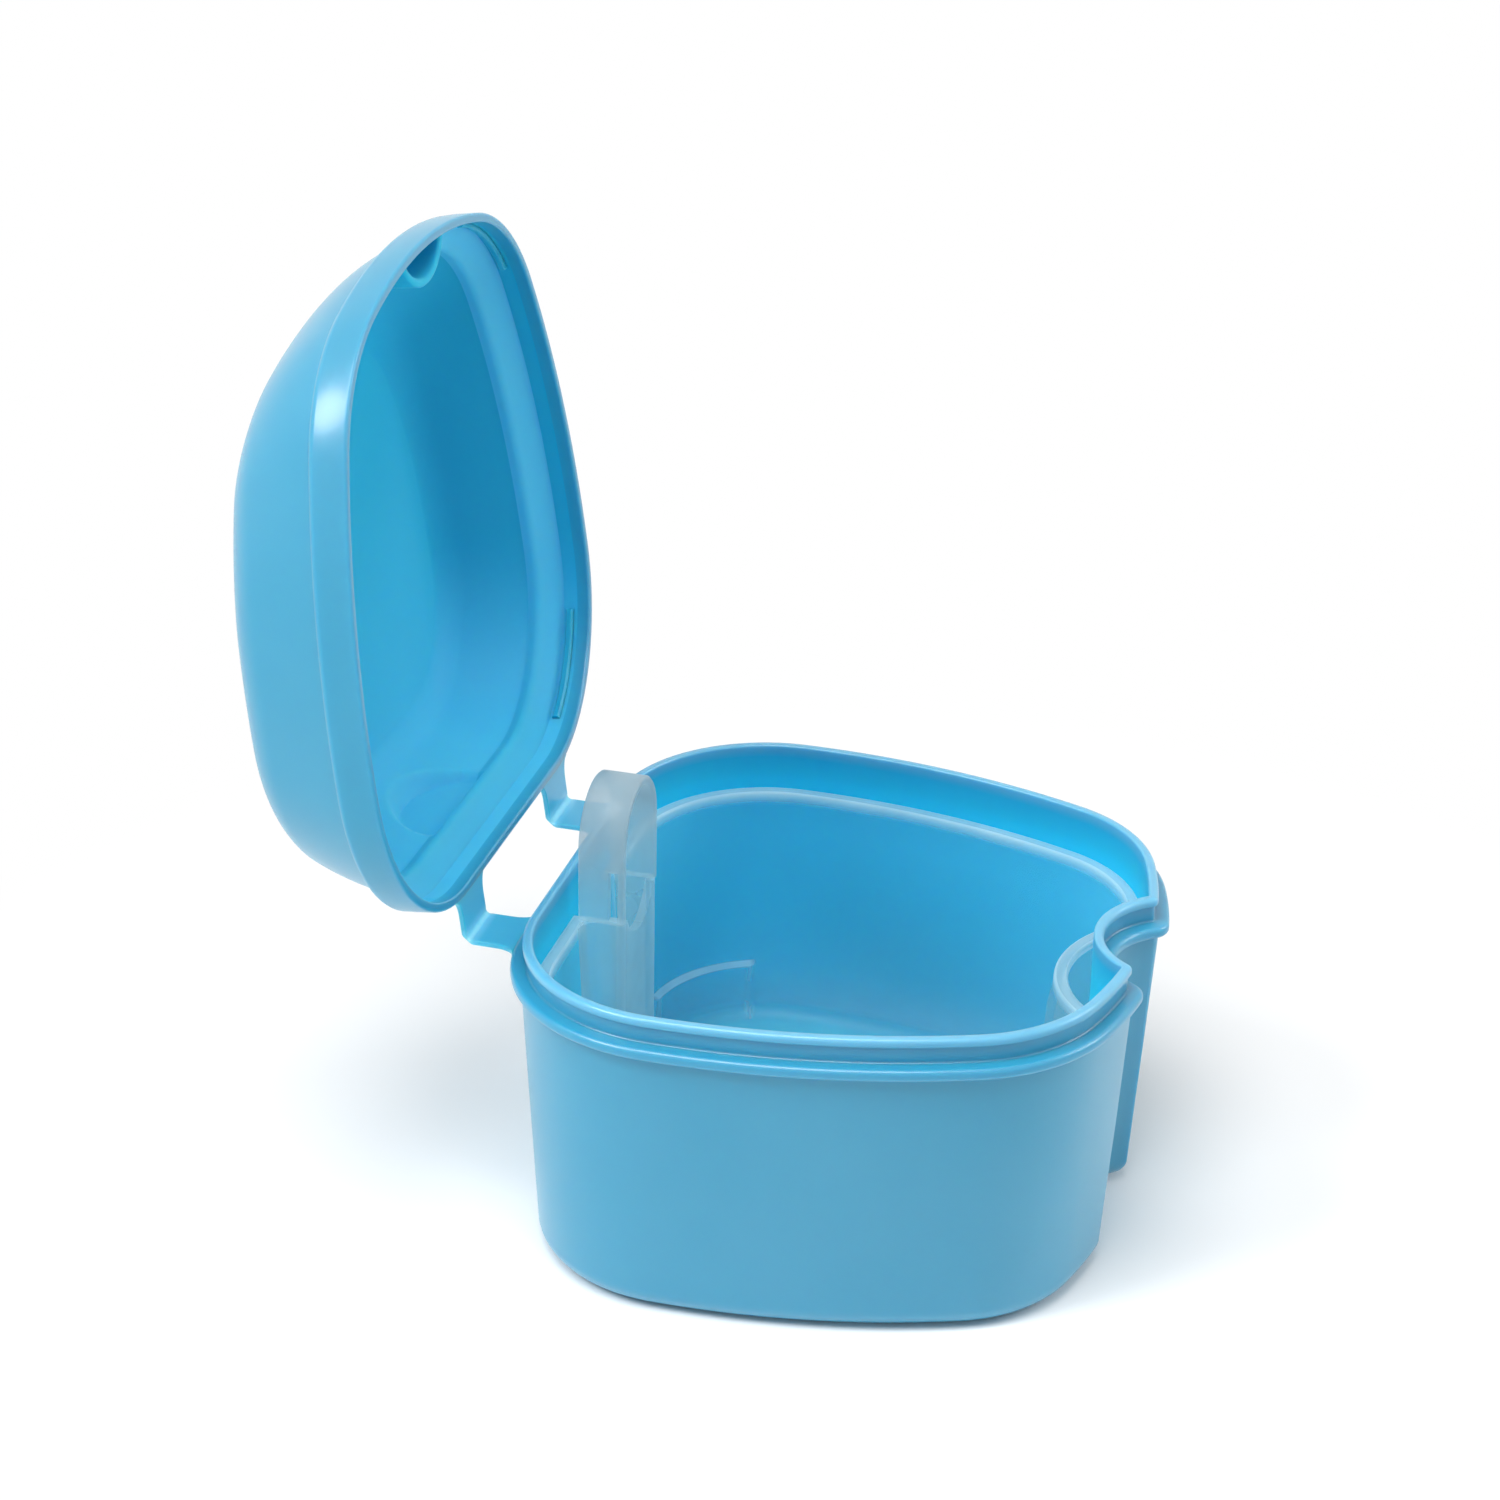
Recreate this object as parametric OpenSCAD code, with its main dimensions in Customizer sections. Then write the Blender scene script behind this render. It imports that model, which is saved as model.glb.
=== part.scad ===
// Denture case: a tub with an upstanding lip, a domed lid on two folding straps,
// and a strainer basket with a tall loop handle standing inside the tub.
// Millimetres, Z up. The origin is the middle of the flat bottom of the tub.
// X runs along the hinge, the thumb notch faces -Y and the hinge is at +Y.
// The lid is drawn open, as in the photograph.

/* [Outline] */

// Greatest width of the lip of the tub
case_w = 90; // [84:0.5:96]
// Length of the lip from front to back
case_l = 86; // [82:0.5:92]
// Radius of the two back corners
back_r = 24.3; // [18:0.1:28]
// Width across the two front corners
front_w = 76.6; // [72:0.2:82]
// Radius of the two front corners
front_r = 23.3; // [18:0.1:26]
// Radius of the two long sides
side_r = 116; // [100:1:160]
// Radius of the bowed front
front_arc_r = 75; // [60:1:110]
// Radius of the thumb notch in the front
notch_r = 11.9; // [10:0.1:14]
// Depth of the thumb notch
notch_deep = 6.6; // [5:0.1:8]
// Rounding of the two corners of the notch
notch_fillet = 1.2; // [0.8:0.1:2]

/* [Tub] */

// Height of the tub from the bottom to the top of the lip
tub_h = 49; // [44:0.5:56]
// Height of the lip above the flange
lip_h = 3.9; // [3:0.1:5]
// Thickness of the lip at its top
lip_t = 1.45; // [1.2:0.05:1.8]
// Height of the round bead on the lip
bead_h = 1.3; // [1:0.1:1.6]
// How far the bead stands out from the lip
bead_out = 0.5; // [0.2:0.05:0.6]
// How far the flange stands out beyond the lip
flange_out = 1.8; // [1.2:0.1:2.4]
// Thickness of the flange
flange_t = 1.8; // [1.4:0.1:2.4]
// How far the wall stands out beyond the lip, under the flange
wall_out = 0.36; // [0:0.02:0.6]
// Inward lean of the wall for each millimetre of height
wall_lean = 0.058; // [0.02:0.002:0.08]
// Thickness of the wall of the tub
wall_t = 1.5; // [1.2:0.1:2]
// Thickness of the floor of the tub
floor_t = 1.8; // [1.4:0.1:2.4]
// Height of the rounding at the foot of the wall
foot_h = 3.9; // [2:0.1:6]
// Width of the rounding at the foot of the wall
foot_in = 4.6; // [2:0.1:7]

/* [Lid] */

// Depth of the lid from its rim to the top of the dome
lid_deep = 22.6; // [21:0.2:26]
// Gap between the closed rim and the flange
rim_gap = 0.2; // [0.1:0.05:0.4]
// How far the skirt stands out beyond the lip
skirt_out = 2.5; // [2.3:0.1:3.2]
// Thickness of the skirt and of the dome
lid_t = 1.4; // [1:0.1:1.6]
// How far the foot of the dome stands out beyond the lip
dome_out = 0.44; // [0:0.02:0.9]
// Height of the rounding round the top of the dome
dome_round_h = 5; // [4:0.1:8]
// Width of the rounding round the top of the dome
dome_round_in = 5; // [4:0.1:12]
// How far the front of the dome slopes back
front_slope = 15.9; // [8:0.1:18]
// How far the back of the dome slopes forward
back_slope = 5.8; // [4:0.1:12]
// How late the two slopes set in
slope_power = 2.65; // [1.6:0.05:3]
// How far the sides of the dome lean in at its top
side_slope = 7.4; // [3:0.1:9]
// Gap between the top of the lip and the foot of the inner shoulder of the closed lid
ledge_gap = 0.6; // [0.4:0.05:1]
// Height of the skirt above the foot of the inner shoulder
shoulder_h = 1.4; // [1.2:0.1:2]
// Height of the sloping inner shoulder
band_h = 2.9; // [2:0.1:4]
// How far the top of the inner shoulder stands in from the dome
band_in = 0.8; // [0.4:0.1:1.6]
// Height of the snap bars in the skirt
snap_h = 1.1; // [0.8:0.1:1.2]
// Depth from the rim to the snap bars
snap_deep = 2.7; // [1:0.1:2.8]
// Gap between the snap bars and the closed lip
snap_gap = 0.45; // [0.35:0.05:0.7]
// Gap between the notch wall of the lid and the lip
notch_gap = 2.3; // [0.4:0.1:2.6]
// Thickness of the notch wall of the lid
notch_wall_t = 1.3; // [1:0.1:1.6]
// Depth from the rim to the edge of the notch wall
notch_wall_low = 0.6; // [0.4:0.1:2.4]
// Angle to which the lid stands open
open_deg = 97.6; // [60:0.2:120]

/* [Handle housing in the lid] */

// Gap between the handle and the inside of its housing, sideways
house_gap = 1.6; // [0.8:0.1:2.4]
// Gap between the handle and the inside of its housing, above and behind
house_gap_top = 1.2; // [0.6:0.1:1.4]
// Depth at which the housing starts to close in an arch
house_arch = 9; // [7:0.5:11]

/* [Straps] */

// Distance between the middles of the two straps
strap_apart = 38.6; // [34:0.2:42]
// Width of a strap at the fold
strap_w = 8.8; // [7:0.1:11]
// Width of a strap at its root
strap_root_w = 12.6; // [9:0.1:15]
// Thickness of a strap
strap_t = 0.8; // [0.5:0.05:1]
// Thickness of the fold line
fold_t = 0.5; // [0.3:0.05:0.6]
// Distance of the fold behind the lip
fold_back = 8.4; // [6:0.1:10]
// Length of the flare at the root of a strap
strap_flare = 3; // [2:0.1:4]
// Gap between the leaves and the fold line
fold_gap = 0.05; // [0.02:0.01:0.2]

/* [Basket] */

// Depth of the rim of the basket below the top of the lip
basket_drop = 7; // [5:0.1:9]
// Gap between the rim of the basket and the wall of the tub
basket_gap = 0.4; // [0.3:0.05:0.8]
// Width of the rim of the basket
basket_rim_w = 2.1; // [1.8:0.1:3]
// Thickness of the rim of the basket
basket_rim_t = 1.3; // [1:0.1:2]
// Thickness of the wall of the basket
basket_wall_t = 1.2; // [0.8:0.1:1.5]
// Thickness of the floor of the basket
basket_floor_t = 1.2; // [0.8:0.1:1.6]
// Gap between the floor of the basket and the floor of the tub
basket_floor_gap = 0.3; // [0.3:0.05:1]
// Inward lean of the basket wall for each millimetre of height
basket_lean = 0.05; // [0.04:0.005:0.08]
// How far the basket stays clear of the notch, beyond the lip
basket_notch = 3.4; // [2:0.1:5]
// Height of the thick corners of the basket above its floor
corner_h = 9; // [6:0.5:14]
// Thickness added in the thick corners
corner_t = 0.9; // [0.5:0.1:1.5]
// Diameter of the drain holes
drain_d = 4; // [2:0.1:6]
// Distance between the drain holes
drain_pitch = 10; // [8:0.5:11]

/* [Handle] */

// Width of the loop handle
handle_w = 17; // [14:0.2:20]
// Height of the top of the handle above the lip
handle_rise = 12.8; // [8:0.2:14]
// Width of the ribbon of the handle from front to back
ribbon_w = 7; // [5:0.1:8]
// Thickness of the ribbon of the handle
ribbon_t = 1.4; // [1:0.1:2]
// Distance from the back of the lip to the back of the handle
handle_back = 3.1; // [2.9:0.1:4.5]
// Height of the finger hole in the handle
finger_h = 22.5; // [16:0.5:24]
// Width of the slot in the left leg of the handle
slot_w = 1.5; // [1:0.1:2]
// Height of the slot in the left leg of the handle
slot_h = 8; // [6:0.5:9]
// Thickness of the strip in front of the slot
slot_front = 0.9; // [0.8:0.1:1.4]

/* [Hidden] */

// Heights and places that follow from the sizes above.
flange_top = tub_h - lip_h;
flange_low = flange_top - flange_t;
rim_z = flange_top + rim_gap;
ledge_deep = lip_h - rim_gap + ledge_gap;
skirt_deep = ledge_deep + shoulder_h;
half_l = case_l / 2;
fold_y = half_l + fold_back;
fold_z = flange_top;

// Centres of the arcs of the outline, for the right half.
bc = [case_w / 2 - back_r, half_l - back_r];
front_c = [0, -half_l + front_arc_r];
fx = front_w / 2 - front_r;
fcx = [fx, front_c[1] - sqrt(pow(front_arc_r - front_r, 2) - fx * fx)];
span = norm(fcx - bc);
su = (fcx - bc) / span;
sr1 = side_r - back_r;
sr2 = side_r - front_r;
sa = (sr1 * sr1 - sr2 * sr2 + span * span) / (2 * span);
sh = sqrt(sr1 * sr1 - sa * sa);
side_c = bc + sa * su - sh * [-su[1], su[0]];
notch_c = [0, -half_l + notch_deep - notch_r];
ang_b = atan2(bc[1] - side_c[1], bc[0] - side_c[0]);
ang_f = atan2(fcx[1] - side_c[1], fcx[0] - side_c[0]);
ang_g = atan2(fcx[1] - front_c[1], fcx[0] - front_c[0]);

function arc_pts(c, r, a0, a1, n, from = 1) =
  [for (i = [from : n]) c + r * [cos(a0 + (a1 - a0) * i / n), sin(a0 + (a1 - a0) * i / n)]];

// Right half of the outline moved outward by o, from the back to the front.
// The notch is opened by a further e, and its corners are rounded by at least f.
function front_part(o, e, f) =
  let (nf = max(f, notch_fillet + o),
       r1 = front_arc_r + o - nf,
       rn = notch_r - o + e,
       r2 = rn + nf,
       dd = front_c[1] - notch_c[1],
       t = (r2 * r2 - r1 * r1 + dd * dd) / (2 * dd),
       px = sqrt(max(0.01, r2 * r2 - t * t)),
       p = [px, notch_c[1] + t],
       a3 = atan2(p[1] - front_c[1], p[0] - front_c[0]),
       a4 = atan2(notch_c[1] - p[1], notch_c[0] - p[0]),
       a5 = atan2(p[1] - notch_c[1], p[0] - notch_c[0]))
  concat(arc_pts(front_c, front_arc_r + o, ang_g, a3, 2),
         arc_pts(p, nf, a3, a4, 3),
         arc_pts(notch_c, rn, a5, 90, 5));

function plain_front(o) =
  arc_pts(front_c, front_arc_r + o, ang_g, -90, 10);

function sides_part(o) =
  concat(arc_pts(bc, back_r + o, 90, ang_b, 9, 0),
         arc_pts(side_c, side_r + o, ang_b, ang_f, 5),
         arc_pts(fcx, front_r + o, ang_f, ang_g, 7));

function whole(half) =
  concat(half, [for (i = [len(half) - 2 : -1 : 0]) [-half[i][0], half[i][1]]]);

// Outline with the notch, and outline without it. Both have as many points.
function ring(o, e = 0, f = 0.4) = whole(concat(sides_part(o), front_part(o, e, f)));
function ring_plain(o) = whole(concat(sides_part(o), plain_front(o)));
ring_n = len(ring(0));

function lift(pts, z) = [for (p = pts) [p[0], p[1], z]];

// One closed solid from a list of rings. The first and the last ring are filled
// by triangles that meet in a point on the Z axis.
module skin(rings) {
  n = len(rings[0]);
  m = len(rings);
  polyhedron(
    points = concat([for (r = rings) for (p = r) p], [[0, 0, rings[0][0][2]], [0, 0, rings[m - 1][0][2]]]),
    faces = concat(
      [for (j = [0 : n - 1]) [m * n, (j + 1) % n, j]],
      [for (i = [0 : m - 2]) for (j = [0 : n - 1])
        for (f = [[i * n + j, i * n + (j + 1) % n, (i + 1) * n + (j + 1) % n],
                  [i * n + j, (i + 1) * n + (j + 1) % n, (i + 1) * n + j]]) f],
      [for (j = [0 : n - 1]) [m * n + 1, (m - 1) * n + j, (m - 1) * n + (j + 1) % n]]),
    convexity = 8);
}

// Offset of the outer and inner wall of the tub at height z.
function wall_o(z) = wall_out - wall_lean * (flange_low - z);
foot_z = foot_h;
in_r = max(0.8, foot_in - wall_t);
in_top = -lip_t;
function wall_i(z) = min(in_top, wall_o(z) - wall_t);

module tub() {
  bead_z = tub_h - bead_h;
  outer = concat(
    [for (a = [0 : 22.5 : 90])
      lift(ring(wall_o(foot_z) - foot_in * (1 - sin(a))), foot_h * (1 - cos(a)))],
    [lift(ring(wall_o(flange_low)), flange_low),
     lift(ring(flange_out - 0.4), flange_low),
     lift(ring(flange_out), flange_low + 0.4),
     lift(ring(flange_out), flange_top - 0.4),
     lift(ring(flange_out - 0.4), flange_top),
     lift(ring(-bead_out), flange_top),
     lift(ring(-bead_out), bead_z)],
    [for (a = [-60 : 30 : 90])
      lift(ring(-bead_h / 2 + bead_h / 2 * cos(a)), bead_z + bead_h / 2 + bead_h / 2 * sin(a))]);
  inner = concat(
    [lift(ring(-lip_t + 0.25), tub_h),
     lift(ring(-lip_t), tub_h - 0.3),
     lift(ring(wall_i(flange_low)), flange_low)],
    [for (a = [0 : 22.5 : 90])
      lift(ring(wall_i(floor_t + in_r) - in_r * (1 - cos(a))), floor_t + in_r * (1 - sin(a)))]);
  color([0.36, 0.69, 0.85]) skin(concat(outer, inner));
}

// Shape of the dome. The front and the back are drawn in as the depth grows, and
// above the skirt the sides lean in evenly.
function slope_at(d, s) = s * pow(max(0, d) / lid_deep, slope_power);
function side_at(d) = side_slope * max(0, d - skirt_deep) / (lid_deep - skirt_deep);
function drawn_in(pts, d) =
  [for (p = pts)
    [p[0] * (1 - side_at(d) / (case_w / 2)),
     p[1] > 0 ? p[1] * (1 - slope_at(d, back_slope) / half_l)
              : p[1] * (1 - slope_at(d, front_slope) / half_l)]];
function round_in(d, top, h, w) =
  d < top - h ? 0 : w * (1 - cos(asin(min(1, (d - top + h) / h))));

// The housing for the handle is an arch in the back of the dome.
handle_top = tub_h + handle_rise;
handle_rear = half_l - handle_back;
house_w = handle_w / 2 + house_gap;
house_y = handle_rear + house_gap_top + 1.1;
house_top = handle_top - rim_z + house_gap_top;
function arch_w(d, w, top) =
  d < house_arch ? w
                 : d < top ? max(1, w * sqrt(1 - pow((d - house_arch) / (top - house_arch), 2)))
                           : max(1, w * 0.2);
// Adds the four points of the housing in the middle of the back edge of a ring. The housing
// starts above the inner shoulder.
function house_ring(half_ring, d, w, y, top) =
  let (aw = arch_w(d, w, top),
       yb = half_ring[0][1],
       yy = (d < top && d > ledge_deep + band_h + 0.2) ? max(yb, y) : yb)
  concat([[aw, yy], [aw + 0.2, yb]], half_ring, [[-aw - 0.2, yb], [-aw, yy]]);

// One ring of the lid at the depth d. Rings of the inside are drawn in a little more
// than the outside, by the value e, so that the sloping walls keep their thickness.
function lid_ring(pts, d, w, y, top, e = 0) =
  lift(house_ring(drawn_in(pts, d + e), d, w, y, top), rim_z + d);

// Points of the corners that carry a snap bar.
function is_snap(i) =
  let (k = i < ring_n / 2 ? i : ring_n - 1 - i) (k >= 3 && k <= 8) || (k >= 16 && k <= 21);
function mixed(a, b) = [for (i = [0 : ring_n - 1]) is_snap(i) ? a[i] : b[i]];

skirt_in = skirt_out - lid_t;
dome_in = dome_out - lid_t;
house_wo = house_w + lid_t;
house_yo = house_y + lid_t;
house_to = house_top + lid_t;
module lid_closed() {
  in_top_d = lid_deep - lid_t;
  in_h = dome_round_h - lid_t;
  in_w = dome_round_in - lid_t;
  up = [for (f = levels) ledge_deep + band_h + 0.3 + (in_top_d - ledge_deep - band_h - 0.3) * f];
  inner_dome = [for (k = [level_n : -1 : 0])
    lid_ring(ring_plain(dome_in - round_in(up[k], in_top_d, in_h, in_w)), up[k],
             house_w, house_y, house_top, lid_t / 2)];
  shoulder = [lid_ring(ring_plain(dome_in - band_in), ledge_deep + band_h, house_w, house_y, house_top,
                       lid_t / 2)];
  s_in = ring_plain(skirt_in);
  s_bar = mixed(ring_plain(snap_gap), s_in);
  skirt = [for (q = [[s_in, ledge_deep], [s_in, snap_deep + snap_h + 0.3], [s_bar, snap_deep + snap_h],
                     [s_bar, snap_deep], [s_in, snap_deep - 0.3], [s_in, 0.2]])
            lid_ring(q[0], q[1], house_w, house_y, house_top)];
  rim = [lid_ring(ring_plain(skirt_in + 0.2), 0, house_w, house_y, house_top),
         lid_ring(ring_plain(skirt_out - 0.3), 0, house_wo, house_yo, house_to),
         lid_ring(ring_plain(skirt_out), 0.3, house_wo, house_yo, house_to),
         lid_ring(ring_plain(skirt_out), skirt_deep - 0.8, house_wo, house_yo, house_to),
         lid_ring(ring_plain(skirt_out - 0.25), skirt_deep - 0.25, house_wo, house_yo, house_to),
         lid_ring(ring_plain(skirt_out - 0.8), skirt_deep, house_wo, house_yo, house_to)];
  step_d = skirt_deep + 0.3;
  outer_dome = [for (f = levels)
    let (d = step_d + (lid_deep - step_d) * f)
    lid_ring(ring_plain(dome_out - round_in(d, lid_deep, dome_round_h, dome_round_in)), d,
             house_wo, house_yo, house_to)];
  skin(concat(inner_dome, shoulder, skirt, rim, outer_dome));
}

// Steps up the dome, closer together towards the top.
level_n = 18;
levels = [for (k = [0 : level_n]) sin(90 * k / level_n)];

// The curved wall in the front of the lid that fits round the thumb notch.
module notch_wall() {
  ro = notch_r - notch_gap;
  ri = ro - notch_wall_t;
  fo = front_arc_r + skirt_in + lid_t / 2;
  dd = front_c[1] - notch_c[1];
  ao = asin((ro * ro - fo * fo + dd * dd) / (2 * dd * ro));
  ai = asin((ri * ri - fo * fo + dd * dd) / (2 * dd * ri));
  translate([0, 0, rim_z + notch_wall_low]) linear_extrude(ledge_deep + shoulder_h / 2 - notch_wall_low)
    polygon(concat(arc_pts(notch_c, ro, ao, 180 - ao, 16, 0), arc_pts(notch_c, ri, 180 - ai, ai, 16, 0)));
}

module in_open_pose() {
  translate([0, fold_y, fold_z]) rotate([-open_deg, 0, 0]) translate([0, -fold_y, -fold_z]) children();
}

module lid() {
  color([0.36, 0.69, 0.85]) in_open_pose() union() {
    lid_closed();
    notch_wall();
  }
}

// Back edge of the outline moved outward by o, at the distance x from the middle.
function back_edge(x, o) =
  abs(x) < bc[0] ? half_l + o : bc[1] + sqrt(pow(back_r + o, 2) - pow(abs(x) - bc[0], 2));

// Plan of one leaf of a strap, from the outline moved outward by o to the fold.
module leaf_plan(sx, o) {
  mid = sx * strap_apart / 2;
  w = strap_root_w / 2;
  y0 = half_l + o;
  root = [for (i = [-6 : 6]) [mid + w * i / 6, back_edge(mid + w * i / 6, o) + 0.02]];
  flare = [for (a = [15 : 15 : 90])
    [strap_w / 2 + (w - strap_w / 2) * (1 - sin(a)), y0 + 0.3 + strap_flare * (1 - cos(a))]];
  polygon(concat(root, [for (p = flare) [mid + p[0], p[1]]],
                 [[mid + strap_w / 2, fold_y], [mid - strap_w / 2, fold_y]],
                 [for (i = [len(flare) - 1 : -1 : 0]) [mid - flare[i][0], flare[i][1]]]));
}

// Lower leaf, from the flange of the tub to the fold.
module lower_leaf(sx) {
  color([0.42, 0.73, 0.88])
    translate([0, 0, fold_z - fold_t / 2 - strap_t])
      linear_extrude(strap_t) leaf_plan(sx, flange_out);
}

// Upper leaf, from the rim of the lid to the fold, drawn shut and then opened.
module upper_leaf(sx) {
  color([0.42, 0.73, 0.88]) in_open_pose()
    translate([0, 0, fold_z + fold_t / 2 + fold_gap])
      linear_extrude(strap_t) leaf_plan(sx, skirt_out);
}

// The thin fold line between the two leaves.
module fold(sx) {
  color([0.55, 0.80, 0.92])
    translate([sx * strap_apart / 2 - strap_w / 2, fold_y, fold_z])
      rotate([0, 90, 0]) cylinder(d = fold_t, h = strap_w, $fn = 24);
}

// Heights of the basket.
basket_top = tub_h - basket_drop;
basket_low = floor_t + basket_floor_gap;
rim_o = wall_i(basket_top) - basket_gap;
basket_o = rim_o - (basket_rim_w - basket_wall_t);
basket_foot = in_r + 0.1;
basket_fillet = max(0.8, basket_foot - basket_wall_t);
function basket_wall(z) = basket_o - basket_lean * (basket_top - basket_rim_t - z);

function is_corner(i) =
  let (k = i < ring_n / 2 ? i : ring_n - 1 - i) k >= 1 && k <= 8;
function basket_ring(o, e, z, extra = 0) =
  let (a = ring(o, e, 1.6), b = ring(o - extra, e, 1.6))
  lift([for (i = [0 : ring_n - 1]) is_corner(i) ? b[i] : a[i]], z);

module basket() {
  low = basket_low;
  f = basket_foot;
  g = basket_fillet;
  fl = low + basket_floor_t;
  outer = concat(
    [for (a = [0 : 22.5 : 90])
      basket_ring(basket_wall(low + f) - f * (1 - sin(a)), basket_notch, low + f * (1 - cos(a)))],
    [basket_ring(basket_wall(basket_top - basket_rim_t), basket_notch, basket_top - basket_rim_t),
     basket_ring(rim_o - 0.25, basket_notch - 0.5, basket_top - basket_rim_t),
     basket_ring(rim_o, basket_notch - 0.5, basket_top - basket_rim_t + 0.25),
     basket_ring(rim_o, basket_notch - 0.5, basket_top - 0.3),
     basket_ring(rim_o - 0.3, basket_notch - 0.5, basket_top)]);
  top_in = basket_wall(basket_top) - basket_wall_t;
  ct = fl + corner_h;
  inner = concat(
    [basket_ring(top_in + 0.3, basket_notch, basket_top),
     basket_ring(top_in, basket_notch, basket_top - 0.3),
     basket_ring(basket_wall(ct + 0.4) - basket_wall_t, basket_notch, ct + 0.4),
     basket_ring(basket_wall(ct) - basket_wall_t, basket_notch, ct, corner_t)],
    [for (a = [0 : 30 : 90])
      basket_ring(basket_wall(fl + g) - basket_wall_t - g * (1 - cos(a)), basket_notch,
                  fl + g * (1 - sin(a)), corner_t)]);
  color([0.82, 0.90, 0.94, 0.6]) difference() {
    skin(concat(outer, inner));
    for (ix = [-2 : 2])
      for (iy = [-2 : 2])
        translate([ix * drain_pitch, iy * drain_pitch + 2, low - 1])
          cylinder(d = drain_d, h = basket_floor_t + 2, $fn = 32);
    // The wall is left out behind the handle, where its channel stands open to the back.
    translate([-handle_w / 2 + ribbon_t, half_l / 2, low + f + 2])
      cube([handle_w - 2 * ribbon_t, half_l, basket_top]);
  }
}

// Loop handle: a ribbon bent into an arch, on a channel that runs down to the floor.
handle_foot = basket_low + basket_floor_t + 0.02;
module arch_plan(w, z0, z1) {
  r = w / 2;
  polygon(concat([[-r, z0]], [for (a = [180 : -7.5 : 0]) [r * cos(a), z1 - r + r * sin(a)]], [[r, z0]]));
}
module slot_plan(w, z0, z1) {
  r = w / 2;
  polygon(concat([for (a = [180 : -10 : 0]) [r * cos(a), z1 - r + r * sin(a)]],
                 [for (a = [0 : -10 : -180]) [r * cos(a), z0 + r + r * sin(a)]]));
}
module handle() {
  rear = handle_rear;
  front = rear - ribbon_w;
  inner_w = handle_w - 2 * ribbon_t;
  hole_top = handle_top - ribbon_t;
  wall_top = half_l + basket_wall(basket_top) - basket_wall_t;
  wall_low = half_l + basket_wall(handle_foot) - basket_wall_t;
  color([0.86, 0.92, 0.95, 0.6]) difference() {
    intersection() {
      translate([0, rear + 1, 0]) rotate([90, 0, 0])
        linear_extrude(ribbon_w + 2) arch_plan(handle_w, handle_foot, handle_top);
      translate([-handle_w, 0, 0]) rotate([90, 0, 90]) linear_extrude(2 * handle_w)
        polygon([[front, handle_foot], [wall_low - basket_fillet - 0.05, handle_foot],
                 [wall_low - 0.05, handle_foot + basket_fillet],
                 [wall_top - 0.05, basket_top + 0.02], [rear, basket_top + 0.02],
                 [rear, handle_top + 1], [front, handle_top + 1]]);
    }
    translate([0, rear + 2, 0]) rotate([90, 0, 0])
      linear_extrude(ribbon_w + 4) slot_plan(inner_w, hole_top - finger_h, hole_top);
    translate([-inner_w / 2, front + 1.3, handle_foot - 1])
      cube([inner_w, ribbon_w + 3, hole_top - finger_h + inner_w / 2 - handle_foot + 1]);
    translate([-handle_w, front + slot_front, basket_top + 0.6])
      cube([handle_w, slot_w, slot_h]);
  }
}

tub();
lower_leaf(-1);  // strap_left_lower
lower_leaf(1);  // strap_right_lower
fold(-1);  // fold_left
fold(1);  // fold_right
lid();
upper_leaf(-1);  // strap_left_upper
upper_leaf(1);  // strap_right_upper
basket();
handle();
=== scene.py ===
"""Denture case in moulded polypropylene: blue tub, blue lid on two folding straps, and a
frosted strainer basket with a loop handle. Metres, Z up, in the frame of the packed model."""

from math import acos, asin, atan2, cos, degrees, hypot, pi, radians, sin, sqrt

import bmesh
import bpy
from mathutils import Matrix, Vector


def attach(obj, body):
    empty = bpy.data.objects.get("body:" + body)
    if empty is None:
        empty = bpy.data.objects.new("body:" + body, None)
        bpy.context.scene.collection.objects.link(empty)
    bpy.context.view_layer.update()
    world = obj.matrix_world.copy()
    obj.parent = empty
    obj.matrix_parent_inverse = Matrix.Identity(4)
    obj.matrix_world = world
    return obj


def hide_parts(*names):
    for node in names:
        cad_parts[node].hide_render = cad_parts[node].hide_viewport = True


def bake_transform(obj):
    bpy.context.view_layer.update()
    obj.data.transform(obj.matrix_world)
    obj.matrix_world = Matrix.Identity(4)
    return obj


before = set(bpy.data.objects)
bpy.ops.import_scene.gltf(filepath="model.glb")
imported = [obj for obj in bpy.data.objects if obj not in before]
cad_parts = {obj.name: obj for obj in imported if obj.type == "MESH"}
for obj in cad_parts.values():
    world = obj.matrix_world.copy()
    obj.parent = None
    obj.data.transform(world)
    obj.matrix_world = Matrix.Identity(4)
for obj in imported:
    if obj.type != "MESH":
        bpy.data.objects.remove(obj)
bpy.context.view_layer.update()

bl_info = {
    "name": "Denture case",
    "version": (1, 0, 0),
    "blender": (4, 5, 0),
    "location": "View3D > Sidebar > Case",
    "description": "Builds an open denture case with its strainer basket, and a plain studio",
    "category": "Object",
}

MM = 0.001

# Gaps, slopes and soft edges that stay as they are when a size changes.
FLOOR_GAP = 0.3 * MM  # Between the basket and the floor of the tub
BASKET_GAP = 0.4 * MM  # Between the rim of the basket and the lip
BASKET_STEP = 0.9 * MM  # From the edge of that rim in to the wall under it
BASKET_LEAN = 0.05  # How far the wall of the basket leans in for each unit of height
CORNER_START = 20 * MM  # From the middle out to the thick corners of the basket
HOUSING_SOFT = 1.4 * MM  # Width of the soft edge of the housing for the handle

# Polypropylene, and the middle span of a noise, where the clouds in it lie.
IOR = 1.49
WAXY = {"Subsurface Weight": 1.0, "Subsurface Radius": (0.5, 0.8, 1.0),
        "Subsurface Scale": 2 * MM}
CLOUD_SPAN = {"From Min": 0.3, "From Max": 0.7}

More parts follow.
